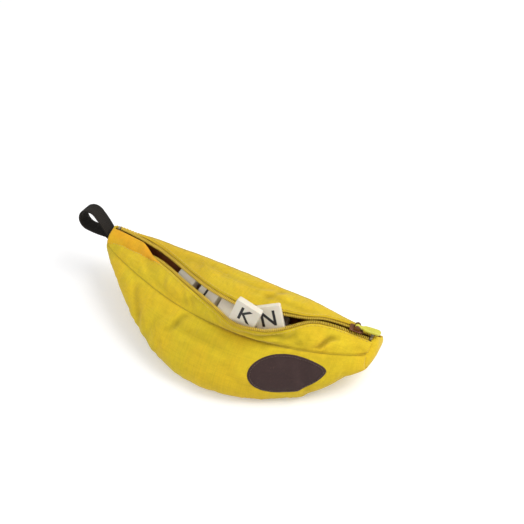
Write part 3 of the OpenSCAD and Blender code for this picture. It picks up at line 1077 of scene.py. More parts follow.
@dataclass
class Panel:
    """One cloth panel: its outer face as a fine grid, with its folds and puckers."""

    name: str
    node: str
    side: Side
    upper: bool
    folds: tuple[Fold, ...]
    seed: int
    thick: float = 0.75
    along: int = 300
    across: int = 84
    crumple: float = 0.42
    points: Array = field(init=False, repr=False)
    flat: Array = field(init=False, repr=False)
    normals: Array = field(init=False, repr=False)
    crease_shade: Array = field(init=False, repr=False)
    sign: int = field(init=False)

    def base(self, form: PouchForm) -> Array:
        """Returns the panel's smooth grid, first row at the stem and first column at the zip or side seam."""
        u, v = uv_grid(0, 1, self.along, self.across)
        if not self.upper:
            return form.wall(u, v, self.side, EDGE_GAP)
        w = np.linalg.norm(form.side_seam(u, self.side) - form.lip(u, self.side), axis=-1)
        swell = 1.5 if self.side is Side.FRONT else 3.0
        return form.top(u, between(form.chain_half + HEM_GAP, w - EDGE_GAP, v), self.side, swell)

    def shape(self, form: PouchForm, seam: "SeamLine") -> None:
        """Works out the panel's points, normals and the painted shade for its creases and seam groove.

        Args:
            form: The pouch's ridge lines.
            seam: The side seam that the panel shares with its neighbour.
        """
        g = self.base(form)
        run = steps_along(g, 0).mean(1, keepdims=True) * np.ones(g.shape[:2])
        flat = np.stack([run, steps_along(g, 1)], -1)
        n = grid_normals(g) * self.outward_sign(g)
        near, far = flat[..., 1], flat[:, -1:, 1] - flat[..., 1]
        side, other = (far, near) if self.upper else (near, far)
        ends = np.minimum(flat[..., 0], flat[-1:, :, 0] - flat[..., 0])
        warped = flat + 5 * np.stack([ripple(flat, 60, 25, self.seed + k) for k in (1, 2)], -1)
        crumple = self.crumple * ripple(warped, 70, 14, self.seed)
        crumple += 0.07 * ripple(warped, 9, 4, self.seed + 3, 10)
        crumple *= ease(side / 8) * (0.3 + 0.7 * ease(other / 9))
        x = np.broadcast_to(form.x(np.linspace(0, 1, self.along))[:, None], side.shape)
        gather = ripple(np.stack([x, side * 0.4], -1), 12, 5, seam.seed, 9)
        pucker = seam.pucker * gather * np.exp(-side / 6) * ease(side / 2.5)
        across = ripple(np.stack([near, ends * 0.4], -1), 11, 4.5, self.seed + 6, 9)
        pucker += 0.17 * across * np.exp(-ends / 5.5)
        hem = -0.45 * np.exp(-(near / 0.7) ** 2) if self.upper else 0.0 * near
        fold = sum((f.height(flat) for f in self.folds), np.zeros_like(crumple)) * ease(side / 4)
        height = (crumple + pucker + fold) * ease(ends / 2.5 + 0.2) + hem
        hold = np.exp(-(side / 3.5) ** 2)[..., None]
        way = unit(n * (1 - hold) + seam.way[:, None] * hold)
        sunk = (seam.rounding[:, None] * np.exp(-(side / 4.5) ** 2)
                + seam.groove[:, None] * np.exp(-(side / 1.0) ** 2))
        g = g + height[..., None] * n + (self.thick - sunk)[..., None] * way
        if not self.upper:
            g[..., 2] = np.maximum(g[..., 2], form.floor(np.linspace(0, 1, self.along))[:, None])
        self.points, self.flat = g, flat
        self.normals = grid_normals(g) * self.sign
        # Painted shade: darkest where folds and puckers sink and along the seam groove; it goes to the fold
        # attribute.
        groove = seam.groove[:, None] * np.exp(-(side / 0.9) ** 2)
        self.crease_shade = np.clip(-0.5 * fold - 0.45 * pucker + 0.7 * groove, 0, 1)

    def outward_sign(self, g: Array) -> int:
        """Returns 1 where the grid's own normals point out of the pouch, else -1."""
        self.sign = facing(g, UP if self.upper else (0, self.side.value, 0))
        return self.sign

    def line(self, d: float, low: float, high: float) -> tuple[Array, Array]:
        """Returns a line on the cloth at an even distance from its first long edge.

        Args:
            d: The distance, in millimetres.
            low: Where it starts along the pouch.
            high: Where it ends.

        Returns:
            Its points and the cloth's normals there.
        """
        rows = np.arange(int(low * (self.along - 1)), int(high * (self.along - 1)) + 1)
        points, normals = [], []
        for i in rows:
            s = self.flat[i, :, 1]
            points.append([np.interp(d, s, self.points[i, :, k]) for k in range(3)])
            normals.append([np.interp(d, s, self.normals[i, :, k]) for k in range(3)])
        return np.array(points), unit(np.array(normals))

    def cloth(self, finishes: Sequence[Material]) -> Piece:
        """Args:
            finishes: The outer and inner material.

        Returns:
            The piece.
        """
        obj = sheet_mesh(self.name, self.points, self.thick, finishes, self.crease_shade, self.flat, self.sign)
        hand_in(obj, "pouch", "cloth", self.node)
        declare_grid(self.flat, self.points)
        return obj


@dataclass
class SeamLine:
    """One side seam: how the two panels that meet there dip towards it, together."""

    side: Side
    seed: int
    pucker: float
    cloth: float = 0.75
    way: Array = field(init=False, repr=False)
    rounding: Array = field(init=False, repr=False)
    groove: Array = field(init=False, repr=False)

    def measure(self, form: PouchForm, upper: Panel, lower: Panel) -> None:
        """Works out the direction and depth of the dip from the two panels' smooth grids.

        Args:
            form: The pouch's ridge lines.
            upper: The panel above the seam.
            lower: The panel below it.
        """
        above, below = upper.base(form), lower.base(form)
        self.way = unit(grid_normals(above)[:, -1] * upper.outward_sign(above)
                        + grid_normals(below)[:, 0] * lower.outward_sign(below))
        u = np.linspace(0, 1, upper.along)
        wander = ripple(np.stack([form.x(u), u * 0], -1), 26, 8, self.seed + 1)
        wander = 0.5 + 0.5 * np.clip(wander * 0.6, -1, 1)
        if self.side is Side.FRONT:
            self.rounding = between(1.2, 0.4, ease((u - 0.4) / 0.25))
            self.groove = between(0.1, 0.7, ease((u - 0.42) / 0.16)) * (0.75 + 0.4 * wander)
        else:
            self.rounding = -0.4 + 0 * u
            self.groove = 0.15 + 0.2 * wander

    def path(self, form: PouchForm) -> Array:
        """Returns the line at the bottom of the dip."""
        u = np.linspace(0, 1, len(self.way))
        depth = self.rounding + self.groove + 0.12 - self.cloth
        return form.side_seam(u, self.side) - self.way * depth[:, None]


class Panels:
    """The four cloth panels and the two end patches."""

    end_thick, end_tuck, weld = 0.7, 0.3, 0.01

    def __init__(self, form: PouchForm, finishes: Finishes) -> None:
        """Keeps the form and the materials."""
        self.form, self.finishes = form, finishes
        self.front_upper = Panel("front_upper_cloth", "front_upper_panel", Side.FRONT, True, (
            Fold(202, 14, -38, 10, 2.7, -2.3), Fold(190, 10, 65, 11, 5.0, 1.3),
            Fold(158, 4.6, 3, 14, 2.2, -1.5),
            Fold(176, 7, 20, 12, 3.0, -0.7), Fold(134, 6, 12, 16, 2.6, -0.7), Fold(60, 12, 30, 26, 6.0, -0.8),
            Fold(92, 9, 155, 18, 4.0, -0.7)), 11, across=64)
        self.back_upper = Panel("back_upper_cloth", "back_upper_panel", Side.BACK, True, (
            Fold(120, 17, 8, 40, 4.0, -0.8), Fold(158, 8, -8, 24, 2.6, -0.8), Fold(148, 14, 75, 9, 3.0, -0.9),
            Fold(82, 8, 20, 16, 4.0, -0.6)), 23, across=64)
        self.front_lower = Panel("front_lower_cloth", "front_lower_panel", Side.FRONT, False, (
            Fold(103, 10, 129, 13, 2.8, -1.4), Fold(62, 18, 60, 16, 4.2, -1.1), Fold(44, 40, 70, 22, 6.0, -0.7),
            Fold(96, 30, 25, 26, 7.0, 0.6), Fold(122, 13, 6, 28, 3.6, -0.7), Fold(204, 20, 62, 14, 4.0, -0.8),
            Fold(80, 34, 115, 24, 5.0, -0.7)), 37, across=110)
        self.back_lower = Panel("back_lower_cloth", "back_lower_panel", Side.BACK, False, (
            Fold(60, 20, 70, 16, 5.0, -0.9), Fold(128, 24, 95, 18, 5.0, -1.0),
            Fold(170, 20, 60, 16, 5.0, -0.8)), 41)
        self.seams = {Side.FRONT: SeamLine(Side.FRONT, 301, 0.2), Side.BACK: SeamLine(Side.BACK, 311, 0.14)}

    def build(self) -> None:
        """Makes every panel."""
        for side, upper, lower in ((Side.FRONT, self.front_upper, self.front_lower),
                                   (Side.BACK, self.back_upper, self.back_lower)):
            self.seams[side].measure(self.form, upper, lower)
            upper.shape(self.form, self.seams[side])
            lower.shape(self.form, self.seams[side])
        f = self.finishes
        for panel in (self.front_upper, self.back_upper, self.front_lower, self.back_lower):
            panel.cloth((f.shaded_back_canvas if panel is self.back_upper else f.canvas, f.shaded_inner_face))
        self.end_patch("stem_end_cloth", 0.0, -1.0, 2.6, "stem_end_patch")
        self.end_patch("tip_end_cloth", 1.0, 1.0, 3.4, "tip_end_patch")

    def end_ring(self, u: float) -> Array:
        """Returns the outline of one end of the pouch."""
        one = np.full(22, u)
        t = np.linspace(0, 1, 22)
        front = self.form.wall(one, t, Side.FRONT, EDGE_GAP)
        back = self.form.wall(one, t, Side.BACK, EDGE_GAP)[::-1]
        lips = [self.form.lip(np.array(u), s) for s in (Side.BACK, Side.FRONT)]
        seam = [self.form.side_seam(np.array(u), s) for s in (Side.BACK, Side.FRONT)]
        top = np.concatenate([between(seam[0], lips[0], np.linspace(0.1, 1, 8)[:, None]),
                              between(lips[0], lips[1], np.linspace(0.2, 1, 5)[:, None]),
                              between(lips[1], seam[1], np.linspace(0.15, 0.9, 7)[:, None])])
        return np.concatenate([front, back[1:], top])

    def end_patch(self, name: str, u: float, way: float, bulge: float, node: str) -> None:
        """Makes the domed cloth that closes one end.

        Args:
            name: The piece's name.
            u: Which end.
            way: The direction along X in which it faces.
            bulge: How far it domes out, in millimetres.
            node: The solid that it stands for.
        """
        ring = self.end_ring(u)
        centre = ring.mean(0)
        shares = np.concatenate([[1.012], np.cos(np.linspace(0.0, 0.5 * np.pi, 30))])
        rings = []
        for k, s in enumerate(shares):
            grown = np.array([1, s, s]) * np.array([1, 1.025, 1.025])
            p = centre + (ring - centre) * grown
            dome = bulge * math.sqrt(max(0.0, 1 - s * s))
            wobble = 0.16 * ripple(p[:, 1:], 22, 12, 71) * ease(np.array(s * (1 - s) * 5))
            level = between(centre[0], ring[:, 0], s ** 4)
            p[:, 0] = level + way * (dome + wobble - (1.2 if k == 0 else self.end_tuck))
            rings.append(p)
        g = np.array(rings)
        n = g.shape[1]
        faces = quads(len(g), n, ring=True)
        flat = g.reshape(-1, 3)
        obj = make_object(name, flat, faces, (self.finishes.canvas,))
        set_uv(obj.data, np.stack([flat[:, 1] + 60, flat[:, 2] + 10], -1) * MM)
        # Painted shade: the two outer rings along the end seam are darkened.
        seam = np.zeros(len(flat))
        seam[:2 * n] = 0.3
        set_points(obj.data, "fold", seam)
        turned_outward(obj, self.weld)
        middle = np.mean([p.normal.x for p in obj.data.polygons])
        if middle * way < 0:
            obj.data.flip_normals()
        solid = obj.modifiers.new("cloth", "SOLIDIFY")
        solid.thickness, solid.offset = self.end_thick * MM, -1
        hand_in(obj, "pouch", "cloth", node)
        spread = np.ptp(ring, axis=0) + 1.6 * bulge + 2
        declare_sheet(float(spread[1]), float(spread[2]), cell_area(np.concatenate([g, g[:, :1]], 1)))


class Seams:
    """The rolled side seams and the rows of topstitching."""

    stitch_length, thread_radius, stitch_pitch, inset, roll_radius = 2.0, 0.27, 2.7, 1.6, 0.42

    def __init__(self, form: PouchForm, panels: Panels, finishes: Finishes, rows: RowTree) -> None:
        """Keeps what the seams lie on."""
        self.form, self.panels, self.finishes, self.rows = form, panels, finishes, rows

    def build(self) -> None:
        """Makes the seams and their stitching."""
        self.roll("front_seam_roll", Side.FRONT, "front_side_welt")
        self.roll("back_seam_roll", Side.BACK, "back_side_welt")
        stitch = stitch_shape("stitch", self.stitch_length, self.thread_radius)
        for seed, (name, panel) in enumerate((("front_lip_stitches", self.panels.front_upper),
                                              ("back_lip_stitches", self.panels.back_upper)), 1):
            line, lift = panel.line(self.inset, 0.02, 0.985)
            row = self.rows.lay(name, line + 0.06 * lift, lift, stitch, self.stitch_pitch,
                                self.finishes.thread, 0.08, seed)
            hand_in(row, "pouch", "cloth")
        bpy.data.objects.remove(stitch)

    def roll(self, name: str, side: Side, node: str) -> None:
        """Makes the narrow rolled edge in a side seam.

        Args:
            name: The piece's name.
            side: Which seam.
            node: The solid that it stands for.
        """
        path = self.panels.seams[side].path(self.form)
        line = np.stack([path[:, 0], path[:, 0] * 0], -1)
        radii = self.roll_radius * (1 + 0.1 * ripple(line, 8, 3, 93))
        obj = tube_mesh(name, path, np.clip(radii, 0.32, 0.5), 10, (self.finishes.canvas,))
        # Painted shade: the whole seam roll is darkened for the shade in the seam's valley.
        set_points(obj.data, "fold", np.full(len(obj.data.vertices), 0.7))
        hand_in(obj, "pouch", "cloth", node)


def stitch_shape(name: str, length: float, radius: float) -> Piece:
    """Makes one small arched stitch, along X with Z up.

    Args:
        name: Its name.
        length: Its length.
        radius: The thread's radius.

    Returns:
        The shape.
    """
    h = length / 2
    path = np.array([[-h, 0, -0.3], [-0.75 * h, 0, 0.05], [0, 0, 0.16], [0.75 * h, 0, 0.05], [h, 0, -0.3]])
    radii = radius * np.array([0.7, 1, 1.1, 1, 0.7])
    return tube_mesh(name, path, radii, 6, ())


# ---------------------------------------------------------------- zip


class Zip:
    """The zip: tapes, coil, stops, end flap, slider and pull tab."""

    slider_u = 0.935
    pin_height = 5.0
    pull_rest = 175.0
    flap_end = 0.235
    tape_thick, flap_thick, tooth_pitch, plate = 0.45, 0.6, 1.3, 1.1

    def __init__(self, form: PouchForm, finishes: Finishes, rows: RowTree) -> None:
        """Keeps the form, the materials and the row tree."""
        self.form, self.finishes, self.rows = form, finishes, rows

    def build(self) -> None:
        """Makes every piece of the zip."""
        for side in Side:
            self.tape(side)
            self.coil(side)
        self.flap()
        self.stops()
        self.slider()
        self.pull()

    def frame(self, u: float, side: Side | None = None) -> Matrix:
        """Returns the frame that rides on the zip: X along it and Z out of the pouch.

        Args:
            u: Place along the pouch.
            side: A lip, or None for the middle.

        Returns:
            The frame, in metres.
        """
        at = np.array(u)
        origin = self.form.zip_line(at) if side is None else self.form.lip(at, side)
        x = unit(self.form.zip_line(at + 0.01) - self.form.zip_line(at - 0.01))
        a = float(self.form.lip_angle(at)) + math.pi / 2
        y = unit(np.cross([0, math.cos(a), math.sin(a)], x))
        z = np.cross(x, y)
        m = Matrix.Identity(4)
        for k in range(3):
            m[k][0], m[k][1], m[k][2], m[k][3] = x[k], y[k], z[k], origin[k] * MM
        return m

    def tape(self, side: Side) -> None:
        """Makes one zip tape, from under the teeth to under the cloth's folded edge."""
        u, v = uv_grid(0, 1, 260, 12)
        start, stop = 0.4, self.form.chain_half + 0.6 + self.form.tape_width(u, side)
        g = self.form.top(u, between(start, stop, v), side, 0.0)
        flat = flattened(g)
        up = facing(g, UP)
        wave = 0.1 * ripple(flat, 14, 5, 51 + side.value) * v
        drop = 0.3 + (1.0 if side is Side.FRONT else 0.45) * ease((v - 0.1) / 0.25)
        g = g + (grid_normals(g) * up) * (wave - drop)[..., None]
        # Painted shade towards the teeth is passed as fold, but the ribbed tape finish does not read it.
        obj = sheet_mesh(side.word + "_tape", g, self.tape_thick, (self.finishes.tape,),
                         np.clip(0.8 - v * 1.4, 0, 1) * 0.6, flat, up)
        hand_in(obj, "pouch", "zip_tape", side.word + "_zip_tape")
        declare_grid(flat, g)

    def coil(self, side: Side) -> None:
        """Makes one row of coil teeth along a lip."""
        reach = -side.value
        path = np.array([[0, -1.25, -0.2], [0, -0.95, 0.3], [0, -0.2, 0.48], [0, 0.65, 0.4], [0, 1.15, 0.0],
                         [0, 0.75, -0.42], [0, -0.5, -0.5]]) * np.array([1, reach, 1])
        path[:, 0] = np.linspace(-0.12, 0.12, len(path))
        tooth = tube_mesh("tooth", path, np.array([0.34, 0.36, 0.38, 0.4, 0.42, 0.36, 0.3]), 6, ())
        u = np.linspace(0.03, 0.982, 400)
        a = self.form.lip_angle(u)
        line, lift = self.form.lip(u, side), point(u * 0, -np.sin(a), np.cos(a))
        row = self.rows.lay(side.word + "_coil", line, lift, tooth, self.tooth_pitch,
                            self.finishes.coil, 0.03, 5)
        hand_in(row, "pouch", "zip_teeth", side.word + "_zip_teeth")
        bpy.data.objects.remove(tooth)

    def flap(self) -> None:
        """Makes the smooth cloth flap that covers the start of the zip."""
        u, v = uv_grid(0, self.flap_end, 70, 30)
        a, b = self.form.lip(u, Side.FRONT), self.form.lip(u, Side.BACK)
        n = unit(np.cross([1.0, 0, 0], b - a))
        upper = between(0.80, -0.12, ease((u - 0.13) / 0.1))
        s = between(-0.42, upper, v)[..., None]
        taper = ease((self.flap_end - u) / 0.05)
        lift = (1.35 + 1.3 * 4 * v * (1 - v)) * between(0.7, 1, taper)
        g = a + (b - a) * s + n * lift[..., None]
        flat = flattened(g)
        g += n * (0.25 * ripple(flat, 22, 8, 61))[..., None]
        up = facing(g, UP)
        obj = sheet_mesh("zip_flap_cloth", g, self.flap_thick, (self.finishes.flap, self.finishes.shaded_inner_face),
                         np.zeros(u.shape), flat, up)
        hand_in(obj, "pouch", "cloth", "zip_end_flap")
        declare_grid(flat, g)

    def staple(self, size: tuple[float, float, float], where: Matrix) -> Piece:
        """Returns one rounded staple."""
        bm = bmesh.new()
        bmesh.ops.create_cube(bm, size=1)
        bmesh.ops.scale(bm, vec=Vector(size) * MM, verts=bm.verts)
        return rounded_piece("staple", bm, bm.edges[:], 0.4, where=where)

    def stops(self) -> None:
        """Makes the pressed metal stops at both ends."""
        bar = [self.staple((1.7, 5.6, 2.3), self.frame(0.99))]
        pair = [self.staple((1.7, 2.2, 2.1), self.frame(0.02, side)) for side in Side]
        for name, parts in (("bottom_stop", bar), ("top_stops", pair)):
            hand_in(joined(name, parts, self.finishes.steel), "pouch", "zip_metal", "zip_" + name)

    def slab(self, outline: Sequence[tuple[float, float]], low: float, high: float, bevel: float,
             where: Matrix) -> Piece:
        """Makes a plate with rounded edges.

        Args:
            outline: Its outline, anticlockwise, in millimetres.
            low: Its underside.
            high: Its top.
            bevel: Its edge's radius.
            where: Its frame.

        Returns:
            The plate.
        """
        bm = bmesh.new()
        face = bm.faces.new([bm.verts.new((x * MM, y * MM, low * MM)) for x, y in outline])
        top = bmesh.ops.extrude_face_region(bm, geom=[face])
        up = [v for v in top["geom"] if isinstance(v, bmesh.types.BMVert)]
        bmesh.ops.translate(bm, vec=(0, 0, (high - low) * MM), verts=up)
        bmesh.ops.recalc_face_normals(bm, faces=bm.faces)
        sharp = [e for e in bm.edges if abs(e.verts[0].co.z - e.verts[1].co.z) < 1e-9]
        return rounded_piece("slab", bm, sharp, bevel, where=where)

    def slider(self) -> None:
        """Makes the slider: two shield-shaped plates, a post, two cheeks and the pin."""
        frame = self.frame(self.slider_u)
        shield = arc(-4.0, 2.3, 0.9, np.linspace(np.pi, np.pi / 2, 5)) + [(2.0, 3.2), (4.0, 2.9)]
        outline = mirrored(shield + arc(4.2, 1.8, 0.8, np.linspace(1.1, 0, 4)))
        parts = [self.slab(outline, low, low + self.plate, 0.34, frame) for low in (1.9, -3.0)]
        post = [(-4.0, -0.4), (-2.0, -0.4), (-2.0, 0.4), (-4.0, 0.4)]
        parts.append(self.slab(post, -2.1, 2.1, 0.1, frame))
        cheek = [(-2.0, 0.0), (2.0, 0.0)] + arc(0.0, 2.1, 2.0, np.linspace(0, np.pi, 12))
        for y in (-1.5, 2.5):
            lift = Matrix.Translation((0, y * MM, 2.9 * MM))
            parts.append(self.slab(cheek, 0, 1, 0.25, frame @ lift @ rotated(90, "X")))
        pin = np.array([[0, y, self.pin_height] for y in np.linspace(-2.6, 2.6, 5)])
        bar = tube_mesh("pin", pin, np.full(5, 0.7), 20, ())
        bar.data.transform(frame)
        parts.append(bar)
        hand_in(joined("slider_body", parts, self.finishes.slider), "zip_slider", "slider", "zip_slider")

    def pull(self) -> None:
        """Makes the pull tab: an eye on the pin, a neck and a grip with raised bars and a hole."""
        pin = Matrix.Translation((0, 0, self.pin_height * MM))
        frame = self.frame(self.slider_u) @ pin @ rotated(180 + self.pull_rest, "Y")
        half = [(3.0, 1.25), (4.2, 1.6), (5.4, 2.35), (9.0, 2.6), (13.2, 2.6)]
        half += [(14.2 + 2.6 * math.sin(a), 2.6 * math.cos(a)) for a in np.linspace(0.1, np.pi / 2 - 0.08, 8)]
        grip = self.slab(mirrored(half[::-1]), -0.8, 0.8, 0.35, frame)
        angles = np.linspace(0, 2 * np.pi, 28, endpoint=False)
        section = [(1.34 + 0.5 * math.cos(b), 1.25 * math.sin(b))
                   for b in np.linspace(0, 2 * np.pi, 14, endpoint=False)]
        ring = np.array([[(r * math.cos(a), y, r * math.sin(a)) for r, y in section] for a in angles])
        faces = quads(len(angles) + 1, len(section), ring=True)
        faces = [[i % (len(angles) * len(section)) for i in f] for f in faces]
        eye = turned_outward(make_object("eye", ring.reshape(-1, 3), faces, ()))
        eye.data.transform(frame)
        neck = self.slab([(1.3, -1.2), (3.6, -1.3), (3.6, 1.3), (1.3, 1.2)], -0.7, 0.7, 0.2, frame)
        bars = []
        for face in (1, -1):
            for x in (7.0, 8.6, 10.2, 11.8):
                path = np.array([[x, y, face * 0.78] for y in np.linspace(-1.7, 1.7, 5)])
                bar = tube_mesh("bar", path, np.array([0.16, 0.3, 0.32, 0.3, 0.16]), 8, ())
                bar.data.transform(frame)
                bars.append(bar)
        tab = joined("pull_tab", [grip, eye, neck, *bars], self.finishes.pull)
        hand_in(tab, "zip_pull", "pull", "zip_pull_tab")


# ---------------------------------------------------------------- loop, patch and tiles


class Loop:
    """The ribbed webbing loop that is sewn into the stem end."""

    place = (-110.3, 34.0, 34.0)
    rise, tilt, yaw = 27.0, 13.0, -2.0
    width, thick, length, bend, pivot = 12.5, 2.0, 26.0, 9.0, 3.0
    columns, ribs, rib_height, rib_base = 41, 5.5, 0.16, 0.1

    def __init__(self, finishes: Finishes) -> None:
        """Keeps the materials."""
        self.finishes = finishes

    def frame(self) -> Matrix:
        """Returns the loop's frame: X along it, Y through its opening, Z across the webbing."""
        return (Matrix.Translation(Vector(self.place) * MM) @ rotated(self.yaw, "Z")
                @ rotated(180 + self.rise, "Y") @ rotated(90 + self.tilt, "X"))

    def centre_line(self) -> Array:
        """Returns the middle of the webbing from one sewn end round to the other, in its flat profile."""
        half = self.thick / 2
        far, r = self.pivot + self.length - self.bend, self.bend - half
        lean = math.asin((r - half) / (far - self.pivot))
        turn = np.linspace(math.pi / 2 + lean, -math.pi / 2 - lean, 48)
        arc = np.stack([far + r * np.cos(turn), r * np.sin(turn)], -1)
        run = np.linspace(0, 1, 22)[:-1, None]
        start = np.array([self.pivot - half * math.sin(lean), half * math.cos(lean)])
        out = between(start, arc[0], run)
        out[:, 1] += 0.5 * np.sin(np.pi * run[:, 0])
        back = out[::-1] * np.array([1, -1])
        root = np.stack([np.linspace(-1.0, self.pivot - 0.6, 6), np.full(6, half * 0.98)], -1)
        return np.concatenate([root, out, arc, back, root[::-1] * np.array([1, -1])])

    def build(self) -> None:
        """Makes the loop, its ribs and its sewn root, and hides the solids that it stands for."""
        path = self.centre_line()
        along = unit(np.gradient(path, axis=0))
        out = np.stack([-along[:, 1], along[:, 0]], -1)
        z = np.linspace(-1, 1, self.columns)
        ribs = self.rib_height * np.abs(np.sin(z * np.pi * self.ribs)) - self.rib_base
        round_off = (1 - np.abs(z) ** 10) ** 0.5
        half = self.thick / 2 - 0.12
        top = half * round_off + ribs * round_off
        profile = np.concatenate([np.stack([top, z], -1), np.stack([-top, z], -1)[::-1][1:-1]])
        rows = []
        for p, n in zip(path, out):
            lift = profile[:, :1] * np.append(n, 0)[None]
            rows.append(np.append(p, 0)[None] + lift + profile[:, 1:] * np.array([[0, 0, self.width / 2]]))
        g = np.array(rows)
        n = g.shape[1]
        faces = quads(len(g), n, ring=True) + [list(range(n)), list(range((len(g) - 1) * n, len(g) * n))[::-1]]
        obj = turned_outward(make_object("webbing_band", g.reshape(-1, 3), faces, (self.finishes.webbing,)))
        length = steps_along(path[:, None], 0)[:, 0]
        side = np.where(np.arange(n) < self.columns, 0.0, 40.0)
        uv = np.stack([np.broadcast_to(length[:, None], g.shape[:2]),
                       np.broadcast_to(profile[:, 1] * self.width / 2 + 10 + side, g.shape[:2])], -1)
        set_uv(obj.data, uv.reshape(-1, 2) * MM)
        obj.data.transform(self.frame())
        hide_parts("webbing_loop", "loop_root")
        start = self.frame() @ Vector((0.5 * MM, 0, 0))
        end = self.frame() @ Vector((7.5 * MM, 0, 0))
        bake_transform(obj)
        LOG.info("%s bends from the pouch to the loop: %d faces", obj.name, len(obj.data.polygons))


class OvalPatch:
    """The plain brown oval that is sewn on the front."""

    centre = (0.8, 0.25)
    half = (23.5, 14.5)
    wall_depth = 72  # from the side seam to the bottom seam, along the cloth
    gap, thick, tuck, allowance = 0.12, 0.42, 0.3, 0.8

    def __init__(self, form: PouchForm, finishes: Finishes, rows: RowTree, panel: Panel) -> None:
        """Keeps the panel that the patch lies on."""
        self.form, self.finishes, self.rows, self.panel = form, finishes, rows, panel

    def spot(self, a: Array, h: Array) -> tuple[Array, Array]:
        """Returns points on the cloth and its normals, from places in the oval.

        Args:
            a: From -1 to 1 along it.
            h: From -1 to 1 across it.

        Returns:
            Points and normals.
        """
        p = self.panel
        u = self.centre[0] + a * self.half[0] / self.form.length
        t = self.centre[1] + h * (0.9 + 0.1 * np.abs(h)) * self.half[1] / self.wall_depth + 0.01 * a
        i, j = u * (p.along - 1), t * (p.across - 1)
        i0, j0 = np.floor(i).astype(int), np.floor(j).astype(int)
        fi, fj = (i - i0)[..., None], (j - j0)[..., None]

        def read(g: Array) -> Array:
            """Returns the grid's values between its points."""
            return ((g[i0, j0] * (1 - fj) + g[i0, j0 + 1] * fj) * (1 - fi)
                    + (g[i0 + 1, j0] * (1 - fj) + g[i0 + 1, j0 + 1] * fj) * fi)
        return read(p.points), unit(read(p.normals))

    def build(self) -> None:
        """Makes the patch and the stitching round it."""
        turns, rings = 160, 26
        angle = np.arange(turns) * 2 * np.pi / turns
        share = np.linspace(0.02, 1, rings)
        a, h = share[:, None] * np.cos(angle)[None], share[:, None] * np.sin(angle)[None]
        points, normals = self.spot(a, h)
        edge = ease((1 - share) / 0.035)[:, None, None]
        top = points + normals * (self.gap + self.thick * edge)
        under = points[-1] - normals[-1] * self.tuck
        g = np.concatenate([top.reshape(-1, 3), under])
        faces = quads(rings + 1, turns, ring=True) + [list(range(turns))]
        obj = make_object("oval_patch_cloth", g, faces, (self.finishes.patch,))
        uv = np.stack([a * self.half[0] + 60, h * self.half[1] + 60], -1).reshape(-1, 2)
        set_uv(obj.data, np.concatenate([uv, uv[-turns:]]) * MM)
        turned_outward(obj)
        front = obj.data.polygons[rings * turns // 2].normal.copy()
        if front.dot(Vector(normals[rings // 2, 0])) < 0:
            obj.data.flip_normals()
        hand_in(obj, "pouch", "patch", "oval_patch")
        around = np.concatenate([points, points[:, :1]], 1)
        width, length = (2 * self.half[k] + self.allowance for k in (1, 0))
        declare_sheet(width, length, cell_area(around))
        stitch = stitch_shape("patch stitch", 1.5, 0.2)
        close = np.append(angle, angle[0])
        line, lift = self.spot(0.93 * np.cos(close), 0.9 * np.sin(close))
        row = self.rows.lay("patch_stitches", line + 0.58 * lift, lift, stitch, 1.95,
                            self.finishes.brown_thread, 0.06, 9)
        hand_in(row, "pouch", "patch")
        bpy.data.objects.remove(stitch)


class Tiles:
    """The letter tiles that stand in the mouth and lie inside."""

    moving = {"mouth_tile_4": "letter_tile_4", "mouth_tile_5": "letter_tile_5"}
    capitals = {"mouth_tile_2": "L", "mouth_tile_4": "K", "mouth_tile_5": "N"}
    standing = {"mouth_tile_1": ((-32.5, 10.8, 38.3), 56, -36, 14),
                "mouth_tile_2": ((-7.8, 6.2, 44.3), 52, -30, 9),
                "mouth_tile_3": ((13.1, 2.7, 45.7), 62, -3, -2),
                "mouth_tile_4": ((28.7, -5.0, 55.5), 11, 3, -17),
                "mouth_tile_5": ((42.1, 3.3, 50.4), 26, 18, 16)}
    thick, edge_radius = 5.0, 0.55
    letter_size, letter_lift = 15.5, 0.02

    def __init__(self, finishes: Finishes, nodes: Mapping[str, Piece]) -> None:
        """Keeps the materials and the solids."""
        self.finishes, self.nodes = finishes, nodes

    def build(self) -> None:
        """Makes every tile with rounded edges and its letter."""
        for node in [n for n in self.nodes if n.startswith(("mouth_tile", "tile_layer"))]:
            piece = self.rounded(node)
            body = self.moving.get(node, "pouch")
            hand_in(piece, body, "tile", node)
            if node in self.capitals:
                letter = self.letter(node, self.capitals[node])
                hand_in(letter, body, "letter_ink")

    def rounded(self, node: str) -> Piece:
        """Returns a copy of the solid with its edges rounded."""
        bm = bmesh.new()
        bm.from_mesh(self.nodes[node].data)
        bmesh.ops.remove_doubles(bm, verts=bm.verts, dist=0.01 * MM)
        bmesh.ops.dissolve_limit(bm, angle_limit=math.radians(1), verts=bm.verts, edges=bm.edges)
        rims = [e for e in bm.edges if len(e.link_faces) == 2 and e.calc_face_angle(0) > math.radians(60)]
        obj = rounded_piece(node + "_plastic", bm, rims, self.edge_radius, 4)
        obj.data.materials.append(self.finishes.tile)
        return obj

    def frame(self, node: str) -> Matrix:
        """Returns the frame of a standing tile, with Z out of its lettered face."""
        centre, lean, turn, roll = self.standing[node]
        return (Matrix.Translation(Vector(centre) * MM) @ rotated(turn, "Z") @ rotated(90 - lean, "X")
                @ rotated(roll, "Z"))

    def letter(self, node: str, capital: str) -> Piece:
        """Makes one stamped capital on a tile's face.

        Args:
            node: The tile.
            capital: The letter.

        Returns:
            The letter's mesh.
        """
        text = bpy.data.curves.new(node + "_letter", "FONT")
        text.body, text.size, text.extrude = capital, self.letter_size * MM, 0.06 * MM
        text.offset = 0.22 * MM
        text.align_x, text.align_y = "CENTER", "CENTER"
        text.materials.append(self.finishes.ink)
        obj = plain_mesh(placed(node + "_letter", text), node + "_letter")
        lift = (self.thick / 2 + self.letter_lift) * MM
        obj.data.transform(self.frame(node) @ Matrix.Translation((0, 0, lift)))
        return obj


# ---------------------------------------------------------------- studio


